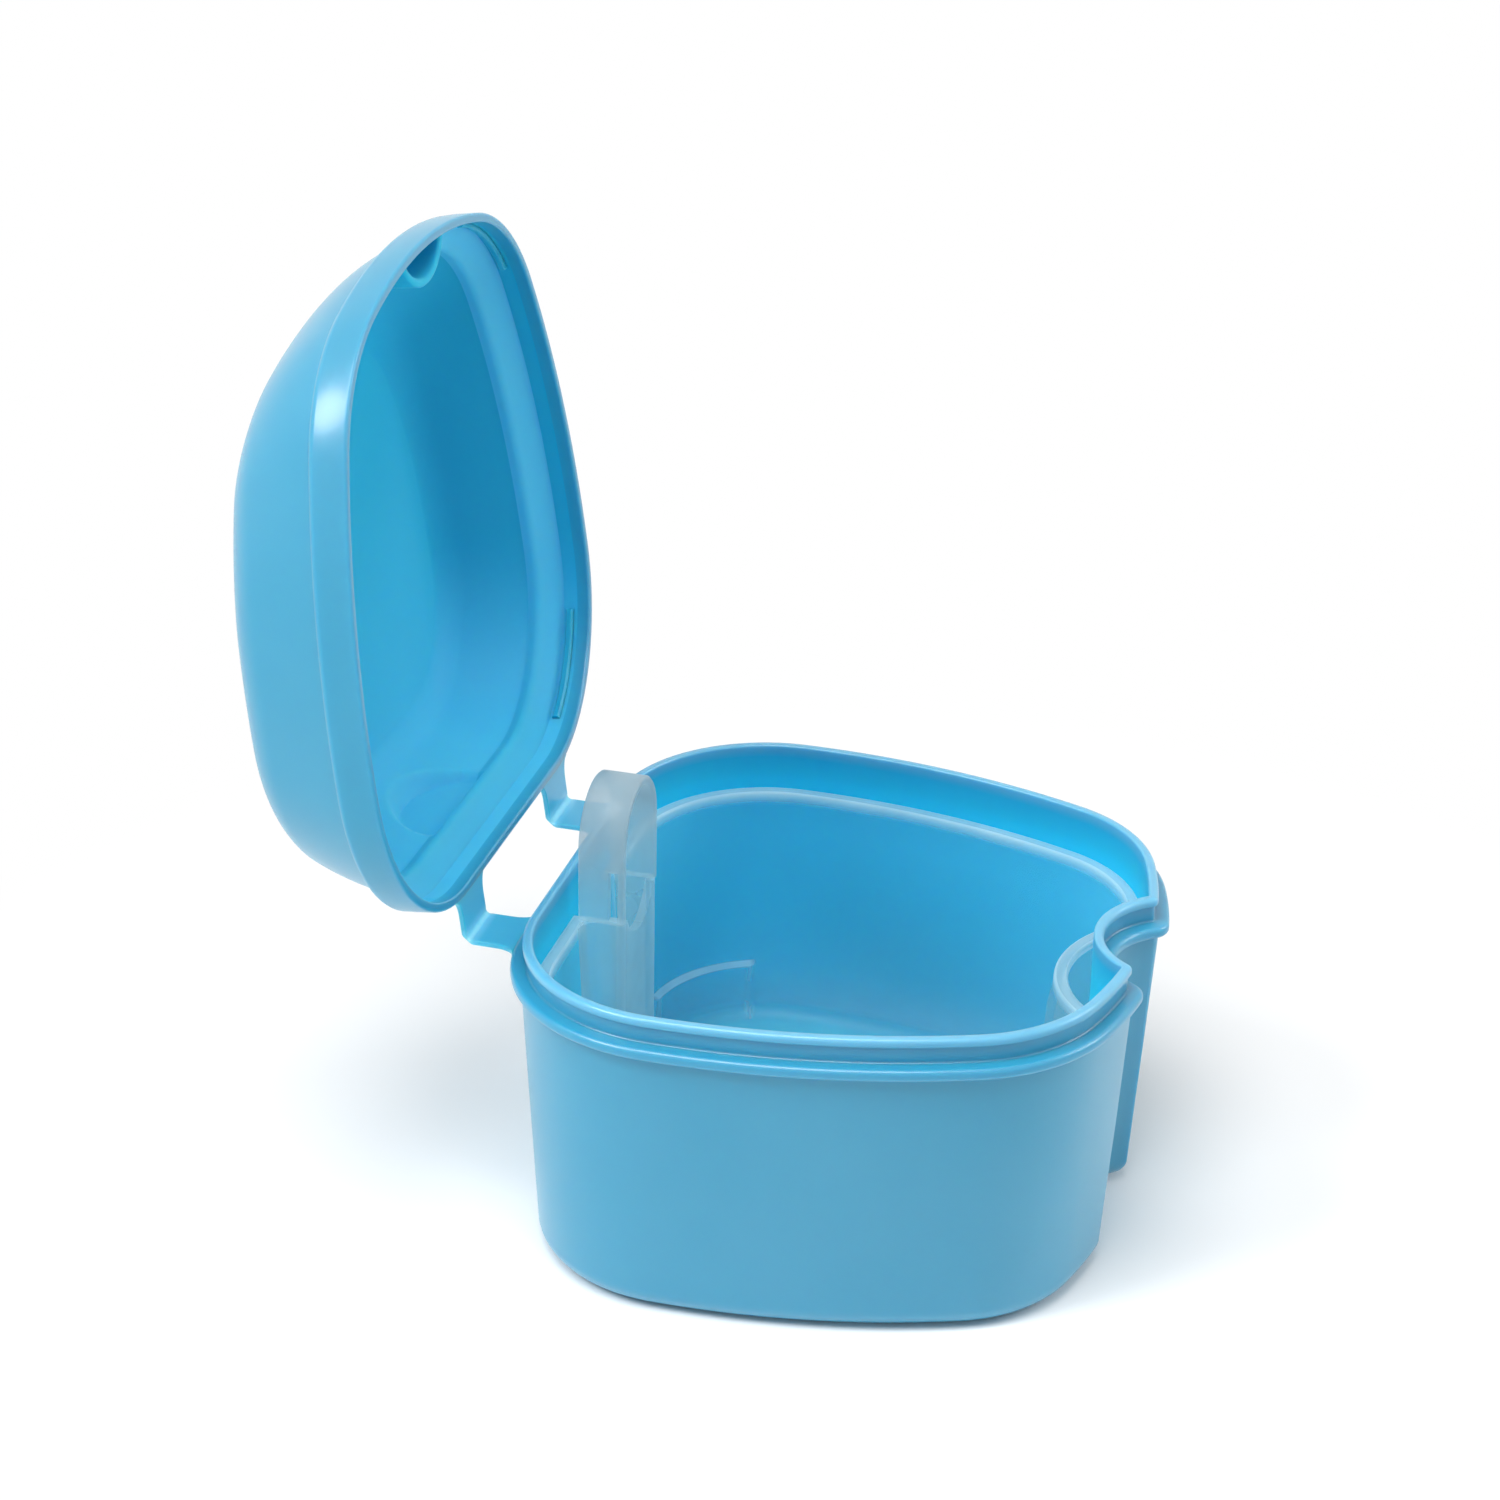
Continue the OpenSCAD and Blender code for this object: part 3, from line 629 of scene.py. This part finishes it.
class CASE_OT_tub(bpy.types.Operator):
    """Adds the tub, with its flange, beaded lip and thumb notch"""

    bl_idname = "case.tub"
    bl_label = "Tub"

    def execute(self, context):
        t = context.scene.case_tub
        top, low = t.height - t.lip_h, t.height - t.lip_h - t.flange_t

        def outer(z):
            return t.wall_out - t.lean * (low - z)

        def inner(z):
            return min(-t.lip_t, outer(z) - t.wall_t)

        centre = (outer(t.foot_h) - t.foot_in, t.foot_h)
        section = quarter(centre, t.foot_in, t.foot_h, -pi / 2, 0, 12)
        rise = (low - t.foot_h) / 6
        section += [(outer(t.foot_h + rise * k), t.foot_h + rise * k) for k in range(1, 6)]
        # Radii of the bead, of the edge of the flange and of the small corners.
        bead_r, edge_r, corner_r = 0.62 * MM, 0.7 * MM, 0.35 * MM
        section += rounded([
            (outer(low - 1 * MM), low - 1 * MM), (outer(low), low, corner_r),
            (t.flange_out, low, edge_r), (t.flange_out, top, edge_r),
            (-t.bead_out, top, corner_r), (-t.bead_out, t.height - t.bead_h, 0.2 * MM),
            (0, t.height - t.bead_h, bead_r), (0, t.height, bead_r),
            (-t.lip_t, t.height, corner_r), (inner(t.height - 2 * MM), t.height - 2 * MM)])
        turned = len(section)
        section += [(inner(z * MM), z * MM) for z in (43.3, 40, 34, 28, 22, 16, 10)]
        hollow_r = t.foot_in - t.wall_t
        mid = t.floor_t + hollow_r
        section += quarter((inner(mid) - hollow_r, mid), hollow_r, hollow_r, 0, -pi / 2, 10)
        bm = bmesh.new()
        rings = [[Vector((x, y, z)) for x, y in ring(u)] for u, z in section]
        loft(bm, rings)

        def inside_and_painted_light_share(i, p):
            """Inside, painted light for the light that comes through the wall, most of it high up and
            at the back.
            """
            high = ramp(p.z, 5 * MM, 34 * MM)
            behind = ramp(p.y, -10 * MM, 30 * MM) * ramp(p.z, 2 * MM, 8 * MM)
            share = min(1.0, 0.5 + 0.4 * max(high, behind) + 0.15 * behind)
            return ramp(i, turned - 2, turned) * share

        mark(bm, "inner", inside_and_painted_light_share, len(rings[0]))
        # Painted highlight: the top of the lip is painted paler, as if it glowed.
        mark(bm, "thin", lambda i, p: 0.3 * ramp(p.z, t.height - 1.6 * MM, t.height - 0.4 * MM))
        outward(bm)
        obj = piece("tub_shell", bm, moulded_blue())
        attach(obj, "case")
        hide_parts("tub")
        return {"FINISHED"}


def housing_share(x, d, half_w, arch, top):
    """1 inside the arched housing for the handle, 0 outside it, with a soft edge between."""
    if d < arch:
        away = abs(x) - half_w
    else:
        rise = top - arch
        away = (hypot(x / half_w, (d - arch) / rise) - 1) * min(half_w, rise)
    return smooth(ramp(away, HOUSING_SOFT / 2, -HOUSING_SOFT / 2))


def lid_point(x, y, d, housing, inside):
    """A point of the closed lid: front, back and sides drawn in with depth, and the housing pushed
    out. The inside is drawn in a little more, so that the sloping walls keep their thickness."""
    s = bpy.context.scene
    lid, half = s.case_lid, s.case_outline.length / 2
    at = max(0.0, d + (lid.thick / 2 if inside else 0.0))
    share = (at / lid.deep) ** lid.slope_power
    slope = lid.back_slope if y > 0 else lid.front_slope
    y = y * (1 - slope * share / half)
    side = lid.side_slope * max(0.0, at - lid.skirt_deep) / (lid.deep - lid.skirt_deep)
    x = x * (1 - side / (s.case_outline.width / 2))
    half_w, reach, arch, top, start = housing
    if y > 0 and d > start:
        y += housing_share(x, d, half_w, arch, top) * max(0.0, reach - y)
    return Vector((x, y, rim_height() + d))


def dome(out, deep, round_h, round_in, start):
    """Section of the lid's dome, from its top down to the depth start."""
    side = deep - round_h
    line = quarter((out - round_in, side), round_in, round_h, pi / 2, 0, 12)
    return line + [(out, side + (start - side) * k / 20) for k in range(1, 21)]


def lid_shell(s):
    """The lid's dome, skirt and inner shoulder, with the housing for the handle, still shut."""
    lid, b, half = s.case_lid, s.case_basket, s.case_outline.length / 2
    shoulder_top = lid.shoulder_deep + lid.shoulder_h
    # Room for the handle at its sides, behind it and above it, and where the arch starts.
    beside, behind, above, arch = 1.6 * MM, 2.3 * MM, 1.2 * MM, 9 * MM
    handle_top = s.case_tub.height + b.handle_rise - rim_height()
    inside = (b.handle_w / 2 + beside, half - b.handle_back + behind, arch, handle_top + above,
              shoulder_top + 1 * MM)
    outside = (inside[0] + lid.thick, inside[1] + lid.thick, arch, inside[3] + lid.thick, inside[4])

    skirt_in, dome_in = lid.skirt_out - lid.thick, lid.dome_out - lid.thick
    outer = dome(lid.dome_out, lid.deep, lid.round_h, lid.round_in, lid.skirt_deep + 2 * MM)
    step = rounded([
        (lid.dome_out, lid.skirt_deep + 1.9 * MM),
        (lid.dome_out, lid.skirt_deep + 0.2 * MM, 0.9 * MM),
        (lid.skirt_out, lid.skirt_deep - 0.1 * MM, 1.1 * MM), (lid.skirt_out, 2.8 * MM),
        (lid.skirt_out, 0, 0.45 * MM), (skirt_in, 0, 0.35 * MM), (skirt_in, 2 * MM)], 6)
    shoulder = rounded([
        (skirt_in, 2.1 * MM), (skirt_in, lid.shoulder_deep, 0.7 * MM),
        (dome_in - lid.shoulder_in, shoulder_top, 1.1 * MM),
        (dome_in, shoulder_top + 1.6 * MM, 1.5 * MM), (dome_in, shoulder_top + 3 * MM)], 6)
    inner = dome(dome_in, lid.deep - lid.thick, lid.round_h - lid.thick, lid.round_in - lid.thick,
                 shoulder_top + 3.1 * MM)
    rings = []
    for part, housing, is_inside in ((outer, outside, False), (step, outside, False),
                                     (shoulder, inside, True), (inner[::-1], inside, True)):
        for u, v in part:
            rings.append([lid_point(x, y, v, housing, is_inside and v > lid.shoulder_deep)
                          for x, y in ring(u, notch=False)])
    bm = bmesh.new()
    loft(bm, rings)
    turned = len(outer) + len(step)
    on_shoulder = range(turned + 4, turned + len(shoulder) - 4)

    def near_hinge(p):
        return ramp(p.y / half, 0.35, 1)

    def inside_and_painted_light_share(i, p):
        """Half inside, and more so on the shoulder, as a painted highlight, and towards the hinge, as
        painted light.
        """
        if i in on_shoulder:
            return 0.8 - 0.25 * near_hinge(p)
        return ramp(i, turned - 2, turned) * (0.5 + 0.3 * near_hinge(p))

    def painted_light_share(i, p):
        """Painted highlight on the shoulder, and painted light towards the hinge, where light comes up
        from the tub.
        """
        if i in on_shoulder:
            return 0.26 - 0.16 * near_hinge(p)
        return ramp(i, turned - 2, turned) * 0.2 * near_hinge(p)

    mark(bm, "inner", inside_and_painted_light_share, len(rings[0]))
    mark(bm, "thin", painted_light_share, len(rings[0]))
    return bm


def notch_wall(s):
    """The curved wall in the lid that fits round the thumb notch, still shut."""
    lid, o = s.case_lid, s.case_outline
    bow, dent = centres(o)[3:]
    r_out = o.notch_r - lid.notch_gap
    r_in = r_out - 1.3 * MM
    # The wall ends in the middle of the skirt's thickness.
    reach, gap = o.bow_r + lid.skirt_out - lid.thick / 2, bow[1] - dent[1]
    low = Vector((0, 0, rim_height() + lid.notch_low))
    high = Vector((0, 0, rim_height() + lid.skirt_deep - 0.7 * MM))
    lip = Vector((0, 0, 0.45 * MM))
    sections = []
    for k in range(41):
        line = []
        for r in (r_out, r_in):
            start = asin((r * r - reach * reach + gap * gap) / (2 * gap * r))
            a = start + (pi - 2 * start) * k / 40
            line.append(Vector((dent[0] + r * cos(a), dent[1] + r * sin(a), 0)))
        front, back = line
        mid = (front + back) / 2
        sections.append([
            front + low + lip, front.lerp(mid, 0.35) + low + lip * 0.3, mid + low,
            back.lerp(mid, 0.35) + low + lip * 0.3, back + low + lip, back + high, front + high])
    bm = bmesh.new()
    loft(bm, sections)
    # Half inside: duller, and painted half way to the inner blue, as painted light.
    mark(bm, "inner", lambda i, p: 0.5)
    return bm


def snap_bars(s):
    """Four snap bars inside the skirt, each spun round the middle of its corner, still shut."""
    lid, o = s.case_lid, s.case_outline
    back, _, front = centres(o)[:3]
    z0, bevel = rim_height() + lid.snap_deep - 0.1 * MM, 0.3 * MM
    bm = bmesh.new()
    for centre, radius, start, stop in ((back, o.back_r, 23, 65), (front, o.front_r, -75, -30)):
        u0, u1 = radius + lid.skirt_out - lid.thick + 0.2 * MM, radius + 0.45 * MM
        profile = [(u0, 0), (u1 + bevel, 0.05), (u1, 0.35), (u1, 0.95), (u1 + bevel, 1.25),
                   (u0, 1.3)]
        a = radians(start)
        verts = [bm.verts.new((centre[0] + u * cos(a), centre[1] + u * sin(a), z0 + h * MM))
                 for u, h in profile]
        face = bm.faces.new(verts)
        bmesh.ops.spin(bm, geom=[face, *face.edges, *verts], cent=(*centre, 0), axis=(0, 0, 1),
                       angle=radians(stop - start), steps=24, use_duplicate=False)
    bmesh.ops.holes_fill(bm, edges=[e for e in bm.edges if e.is_boundary], sides=0)
    bmesh.ops.mirror(bm, geom=bm.verts[:] + bm.edges[:] + bm.faces[:], axis="X", merge_dist=1e-7)
    # Partly inside: duller, and painted part way to the inner blue, as painted light.
    mark(bm, "inner", lambda i, p: 0.35)
    return bm


class CASE_OT_lid(bpy.types.Operator):
    """Adds the domed lid, with its skirt, inner shoulder, snap bars and notch wall"""

    bl_idname = "case.lid"
    bl_label = "Lid"

    def execute(self, context):
        for name, build, sharp in (("lid_shell", lid_shell, 35.0),
                                   ("lid_notch_wall", notch_wall, 50.0),
                                   ("lid_snap_bars", snap_bars, 35.0)):
            bm = build(context.scene)
            outward(bm)
            swing_open(bm)
            obj = piece(name, bm, moulded_blue(), sharp)
            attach(obj, "cover")
            if build is lid_shell:
                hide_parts("lid")
        return {"FINISHED"}


def strap_stations(s):
    """Stations along a strap, from the tub over the fold to the lid. Each has a point of the
    outer side, a point of the inner side, and the half width."""
    p, half, axis = s.case_strap, s.case_outline.length / 2, hinge_point()
    flare, sunk, short = 3.2 * MM, 0.5 * MM, 0.6 * MM

    def leaf(out, z):
        """A flat leaf from its root, a little inside the rim, to just before the fold, and flared
        into the root: points of its lower and upper side, and half widths."""
        root = half + out - sunk
        for k in range(15):
            y = root + (axis.y - short - root) * k / 14
            share = max(0.0, 1 - (y - root) / flare)
            w = p.width / 2 + (p.root - p.width) / 2 * (1 - sqrt(1 - share ** 2))
            yield Vector((0, y, z)), Vector((0, y, z + p.thick)), w

    lower = list(leaf(s.case_tub.flange_out, axis.z - p.fold / 2 - p.thick))
    turn = Matrix.Rotation(-s.case_lid.open_angle, 3, "X")
    upper = [(axis + turn @ (high - axis), axis + turn @ (low - axis), w)
             for low, high, w in leaf(s.case_lid.skirt_out, axis.z + p.fold / 2 + 0.05 * MM)]
    upper.reverse()
    # Round the fold, where the strap thins to the fold line.
    start, stop = lower[-1], upper[0]
    fold = []
    for k in range(1, 8):
        f = k / 8
        out_a = start[0] + Vector((0, 1.1 * MM, -0.05 * MM)) * sin(pi * f / 2)
        out_b = stop[0] + Vector((0, 0.0, -1.0 * MM)) * cos(pi * f / 2)
        outer = out_a.lerp(out_b, smooth(f))
        inner = start[1].lerp(stop[1], smooth(f))
        centre, arm = (outer + inner) / 2, (outer - inner) / 2
        thin = 1 - (1 - p.fold / p.thick) * sin(pi * f) ** 2
        arm = arm.normalized() * min(arm.length, p.thick / 2) * thin
        fold.append((centre + arm, centre - arm, p.width / 2))
    return lower + fold + upper


def strap_section(mid, outer, inner, w):
    """The section of a strap at one station, with small bevels, as points round it."""
    edge = 0.18 * MM
    line = []
    for side, near, far in ((1, outer, inner), (-1, inner, outer)):
        lift = (far - near).normalized() * edge
        spots = [(w * i / 5, near) for i in range(-4, 5)]
        spots += [(w - edge, near), (w, near + lift), (w, far - lift), (w - edge, far)]
        line += [Vector((mid + side * x, 0, 0)) + at for x, at in spots]
    return line


class CASE_OT_straps(bpy.types.Operator):
    """Adds the two straps that fold between the tub and the lid"""

    bl_idname = "case.straps"
    bl_label = "Straps"

    def execute(self, context):
        s = context.scene
        axis = hinge_point()
        for side, name in ((-1, "left"), (1, "right")):
            mid = side * s.case_strap.apart / 2
            bm = bmesh.new()
            loft(bm, [strap_section(mid, *station) for station in strap_stations(s)])
            outward(bm)
            mark(bm, "fold", lambda i, p: ramp(hypot(p.y - axis.y, p.z - axis.z), 1.6 * MM, 0))
            obj = piece("strap_" + name, bm, bent_blue())
            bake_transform(obj)
            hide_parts(f"strap_{name}_lower", f"strap_{name}_upper", f"fold_{name}")
        return {"FINISHED"}


class CASE_OT_basket(bpy.types.Operator):
    """Adds the frosted strainer basket, with its rim, thick corners and drain holes"""

    bl_idname = "case.basket"
    bl_label = "Basket"

    def execute(self, context):
        s = context.scene
        b, t = s.case_basket, s.case_tub
        top = t.height - b.drop
        under = top - b.rim_t
        low = t.floor_t + FLOOR_GAP
        floor = low + b.floor_t
        step = floor + b.corner_h
        rim = -t.lip_t - BASKET_GAP
        wall = basket_wall

        def inside(z):
            return wall(z) - b.wall_t

        # Each point of the section: its place, its share of the clearance at the notch, and how
        # far it is drawn in at the thick corners.
        foot = t.foot_in - t.wall_t + 0.1 * MM
        bend = quarter((wall(low + foot) - foot, low + foot), foot, foot, -pi / 2, 0, 10)
        section = [(u, z, 1, 0) for u, z in bend]
        section += [(wall(z * MM), z * MM, 1, 0) for z in (14, 24, 34)]
        edge_r, corner_r = 0.45 * MM, 0.3 * MM
        section += [(u, z, 0.85, 0) for u, z in rounded([
            (wall(under - 2 * MM), under - 2 * MM), (wall(under), under, corner_r),
            (rim, under, corner_r), (rim, top, edge_r), (inside(top), top, edge_r),
            (inside(top - 2 * MM), top - 2 * MM)], 4)]
        section += [(inside(z), z, 1, 0) for z in (36 * MM, 28 * MM, 20 * MM, step + 0.8 * MM)]
        for k in range(5):
            z = step + 0.5 * MM * (1 - k / 4)
            section.append((inside(z), z, 1, k / 4))
        section.append((inside(step - 0.3 * MM), step - 0.3 * MM, 1, 1))
        g = foot - b.wall_t
        bend = quarter((inside(floor + g) - g, floor + g), g, g, 0, -pi / 2, 10)
        section += [(u, z, 1, 1) for u, z in bend]
        rings = []
        for u, z, notch, thick in section:
            plain, fat = (ring(v, b.notch * notch, 1.6 * MM) for v in (u, u - b.corner_t))
            line = []
            for (x, y), (fat_x, fat_y) in zip(plain, fat):
                share = thick if 22 < corner_angle(x, y) < 84 else 0.0
                line.append(Vector((x + (fat_x - x) * share, y + (fat_y - y) * share, z)))
            rings.append(line)
        bm = bmesh.new()
        loft(bm, rings)
        outward(bm)
        obj = piece("basket_shell", bm, frosted_clear())
        cut_out(obj, basket_cutter(b, low, foot, top))

        def milk(p):
            """Milkiest along the edges: the two edges of the rim, the top of the thick corners and
            the two ends of the rounding at the floor."""
            angle = corner_angle(p.x, p.y)
            corner = 21 < angle < 84
            if p.z > under - 0.1 * MM:
                return 0.8 if top - 0.43 * MM < p.z < top - 0.02 * MM else 0.45
            if corner and abs(p.z - step - 0.25 * MM) < 0.35 * MM:
                return 0.55
            if abs(p.z - floor - g) < 0.1 * MM:
                return 0.24
            if p.z < floor + 0.1 * MM:
                return 0.1
            if corner and p.z < step:
                return 0.34 if angle < 26 or angle > 80 else 0.15
            return 0.05 + 0.08 * max(0.0, 1 - (p.z - floor) / (20 * MM))

        milky(obj, milk)
        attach(obj, "strainer")
        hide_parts("basket")
        return {"FINISHED"}


def basket_cutter(b, low, foot, top):
    """The drain holes in the floor, and the window in the back wall behind the handle."""
    bm = bmesh.new()
    grid_y = 2 * MM
    for ix in range(-2, 3):
        for iy in range(-2, 3):
            at = (ix * b.pitch, iy * b.pitch + grid_y, low + b.floor_t / 2)
            bmesh.ops.create_cone(
                bm, cap_ends=True, segments=32, radius1=b.hole / 2, radius2=b.hole / 2,
                depth=b.floor_t * 3, matrix=Matrix.Translation(at))
    half = b.handle_w / 2 - b.ribbon_t
    box(bm, (-half, 25 * MM, low + foot + 2 * MM), (half, 60 * MM, top + 5 * MM))
    return bm


class CASE_OT_handle(bpy.types.Operator):
    """Adds the loop handle of the basket, on its channel down the back wall"""

    bl_idname = "case.handle"
    bl_label = "Handle"

    def execute(self, context):
        s = context.scene
        b, t, half = s.case_basket, s.case_tub, s.case_outline.length / 2
        rear = half - b.handle_back
        front = rear - b.ribbon_w
        top, rim = t.height + b.handle_rise, t.height - b.drop
        foot = rim + 0.1 * MM
        r, ri = b.handle_w / 2, b.handle_w / 2 - b.ribbon_t
        # The ribbon runs up one leg, over the arch and down the other leg. Each station of its
        # path has the direction outward and the place, both in X and Z.
        path = [(-1, 0, -r, foot + (top - r - rim) * k / 12) for k in range(13)]
        for k in range(1, 32):
            a = pi - pi * k / 32
            path.append((cos(a), sin(a), r * cos(a), top - r + r * sin(a)))
        path += [(1, 0, r, top - r - (top - r - foot) * k / 12) for k in range(13)]
        e, thick = 0.3 * MM, b.ribbon_t
        outline = ((0, front + e), (0, rear - e), (e, rear), (thick - e, rear),
                   (thick, rear - e), (thick, front + e), (thick - e, front), (e, front))
        bm = bmesh.new()
        loft(bm, [[Vector((x - nx * d, y, z - nz * d)) for d, y in outline]
                  for nx, nz, x, z in path])
        outward(bm)
        ribbon = piece("handle_ribbon", bm, frosted_clear(), 60)
        slot = bmesh.new()
        slot_y, slot_z = front + b.slot_front, rim + 0.6 * MM
        box(slot, (-2 * r, slot_y, slot_z), (0, slot_y + b.slot_w, slot_z + b.slot_h))
        cut_out(ribbon, slot, 60)

        # The channel: a box on the back wall, open at its back, with a fillet along the wall, a
        # round front corner and a bend at its lower end.
        low = t.floor_t + FLOOR_GAP + b.floor_t + 0.02 * MM
        fillet, corner, bend, wall = 2.6 * MM, 1.3 * MM, 2.0 * MM, 1.3 * MM
        sections = []
        for k in range(25):
            z = low + (foot - low) * k / 24
            back = half + basket_wall(z) - b.wall_t - 0.05 * MM
            if z - low < bend:
                back -= bend - sqrt(max(0.0, bend ** 2 - (bend - (z - low)) ** 2))
            side = arc((r + fillet, back - fillet), fillet, pi / 2, pi, 8) + [(r, back - fillet)]
            side += arc((r - corner, front + corner), corner, 0, -pi / 2, 6)
            side.append((r - corner, front))
            hollow = [(-ri, back), (-ri, front + wall), (ri, front + wall), (ri, back)]
            line = hollow + side + [(-x, y) for x, y in reversed(side)]
            sections.append([Vector((x, y, z)) for x, y in line])
        bm = bmesh.new()
        loft(bm, sections)
        outward(bm)
        channel = piece("handle_channel", bm, frosted_clear(), 40)
        # The round foot of the finger hole, in the top of the channel.
        hole = Vector((0, front, top - b.ribbon_t - b.finger_h + ri))
        cutter = bmesh.new()
        bmesh.ops.create_cone(
            cutter, cap_ends=True, segments=64, radius1=ri, radius2=ri, depth=b.ribbon_w * 2,
            matrix=Matrix.Translation(hole) @ Matrix.Rotation(pi / 2, 4, "X"))
        cut_out(channel, cutter, 40)

        def corner_milk(p):
            """The channel is milkiest in its two round front corners."""
            in_front = p.y < front + corner - 0.1 * MM
            return 0.42 if in_front and abs(p.x) > r - corner + 0.05 * MM else 0.3

        milky(ribbon, lambda p: 0.3 + 0.5 * (p.z - foot) / (top - foot))
        milky(channel, corner_milk)
        for obj in (ribbon, channel):
            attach(obj, "strainer")
        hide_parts("handle")
        return {"FINISHED"}


def lamp(name, place, target, size, power):
    """A round lamp that shines at the target."""
    data = bpy.data.lights.new(name, "AREA")
    data.shape, data.size, data.energy = "DISK", size, power
    obj = bpy.data.objects.new(name, data)
    obj.location = place
    obj.rotation_euler = (target - Vector(place)).to_track_quat("-Z", "Y").to_euler()
    bpy.context.scene.collection.objects.link(obj)


def studio_air():
    """Surroundings that are seen as plain white and give a weaker light."""
    world = bpy.data.worlds.new("studio_air")
    world.use_nodes = True
    tree = world.node_tree
    tree.nodes.clear()
    lit, seen = (add(tree, "Background", (-200, y), {"Color": (1, 1, 1, 1), "Strength": strength})
                 for y, strength in ((0, 0.35), (-150, 1.0)))
    mix = add(tree, "MixShader", (50, 0), {0: seen_ray(tree, (-600, 200)), 1: lit, 2: seen})
    add(tree, "OutputWorld", (250, 0), {"Surface": mix})
    return world


def photo_camera():
    """A camera at the angle, distance and field of view of the photograph."""
    data = bpy.data.cameras.new("camera")
    data.sensor_fit, data.sensor_width = "HORIZONTAL", SENSOR
    data.lens = FOCAL_PIXELS / PHOTO_PIXELS * SENSOR
    data.clip_start, data.clip_end = 0.05, 20.0
    camera = bpy.data.objects.new("camera", data)
    az, el, roll = (radians(a) for a in CAMERA_TURN)
    back = Vector((sin(az) * cos(el), -cos(az) * cos(el), sin(el)))
    right = Vector((cos(az), sin(az), 0))
    up = back.cross(right)
    right, up = right * cos(roll) + up * sin(roll), up * cos(roll) - right * sin(roll)
    turn = Matrix((right, up, back)).transposed().to_4x4()
    camera.matrix_world = Matrix.Translation(CAMERA_PLACE) @ turn
    bpy.context.scene.collection.objects.link(camera)
    return camera


class CASE_OT_stage(bpy.types.Operator):
    """Adds the floor, the lamps and the camera"""

    bl_idname = "case.stage"
    bl_label = "Stage"

    def execute(self, context):
        s = context.scene
        bm = bmesh.new()
        bmesh.ops.create_grid(bm, x_segments=1, y_segments=1, size=6.0)
        floor = piece("studio_floor", bm, studio_floor())
        s.world = studio_air()
        # A soft lamp overhead, one behind on the left that draws the bright band down the corner
        # of the lid, and a weak one in front on the right that reaches into the lid.
        target = Vector((0.0, 0.03, 0.06))
        lamp("top", (-0.42, 0.06, 1.05), target, 0.7, 8.0)
        lamp("left", (-0.52, 0.6, 0.78), target, 0.42, 6.0)
        lamp("front", (0.35, -0.9, 0.6), target, 0.6, 4.2)
        s.camera = photo_camera()
        s.view_settings.view_transform = "Standard"
        s.view_settings.look = "None"
        return {"FINISHED"}


class CASE_PT_panel(bpy.types.Panel):
    """Lists the pieces and the sizes of the denture case"""

    bl_label = "Denture case"
    bl_space_type = "VIEW_3D"
    bl_region_type = "UI"
    bl_category = "Case"

    def draw(self, context):
        for operator in PIECES:
            self.layout.operator(operator.bl_idname)
        for name, group in GROUPS.items():
            column = self.layout.box()
            column.label(text=group.__doc__)
            for key in group.__annotations__:
                column.prop(getattr(context.scene, name), key)


PIECES = (CASE_OT_tub, CASE_OT_lid, CASE_OT_straps, CASE_OT_basket, CASE_OT_handle, CASE_OT_stage)


def register():
    for group in GROUPS.values():
        bpy.utils.register_class(group)
    for name, group in GROUPS.items():
        setattr(bpy.types.Scene, name, bpy.props.PointerProperty(type=group))
    for cls in (*PIECES, CASE_PT_panel):
        bpy.utils.register_class(cls)


def unregister():
    for cls in (CASE_PT_panel, *reversed(PIECES)):
        bpy.utils.unregister_class(cls)
    for name in GROUPS:
        delattr(bpy.types.Scene, name)
    for group in GROUPS.values():
        bpy.utils.unregister_class(group)


def main():
    register()
    bpy.ops.case.tub()
    bpy.ops.case.lid()
    bpy.ops.case.straps()
    bpy.ops.case.basket()
    bpy.ops.case.handle()
    bpy.ops.case.stage()
    bpy.context.view_layer.update()


if __name__ == "__main__":
    main()
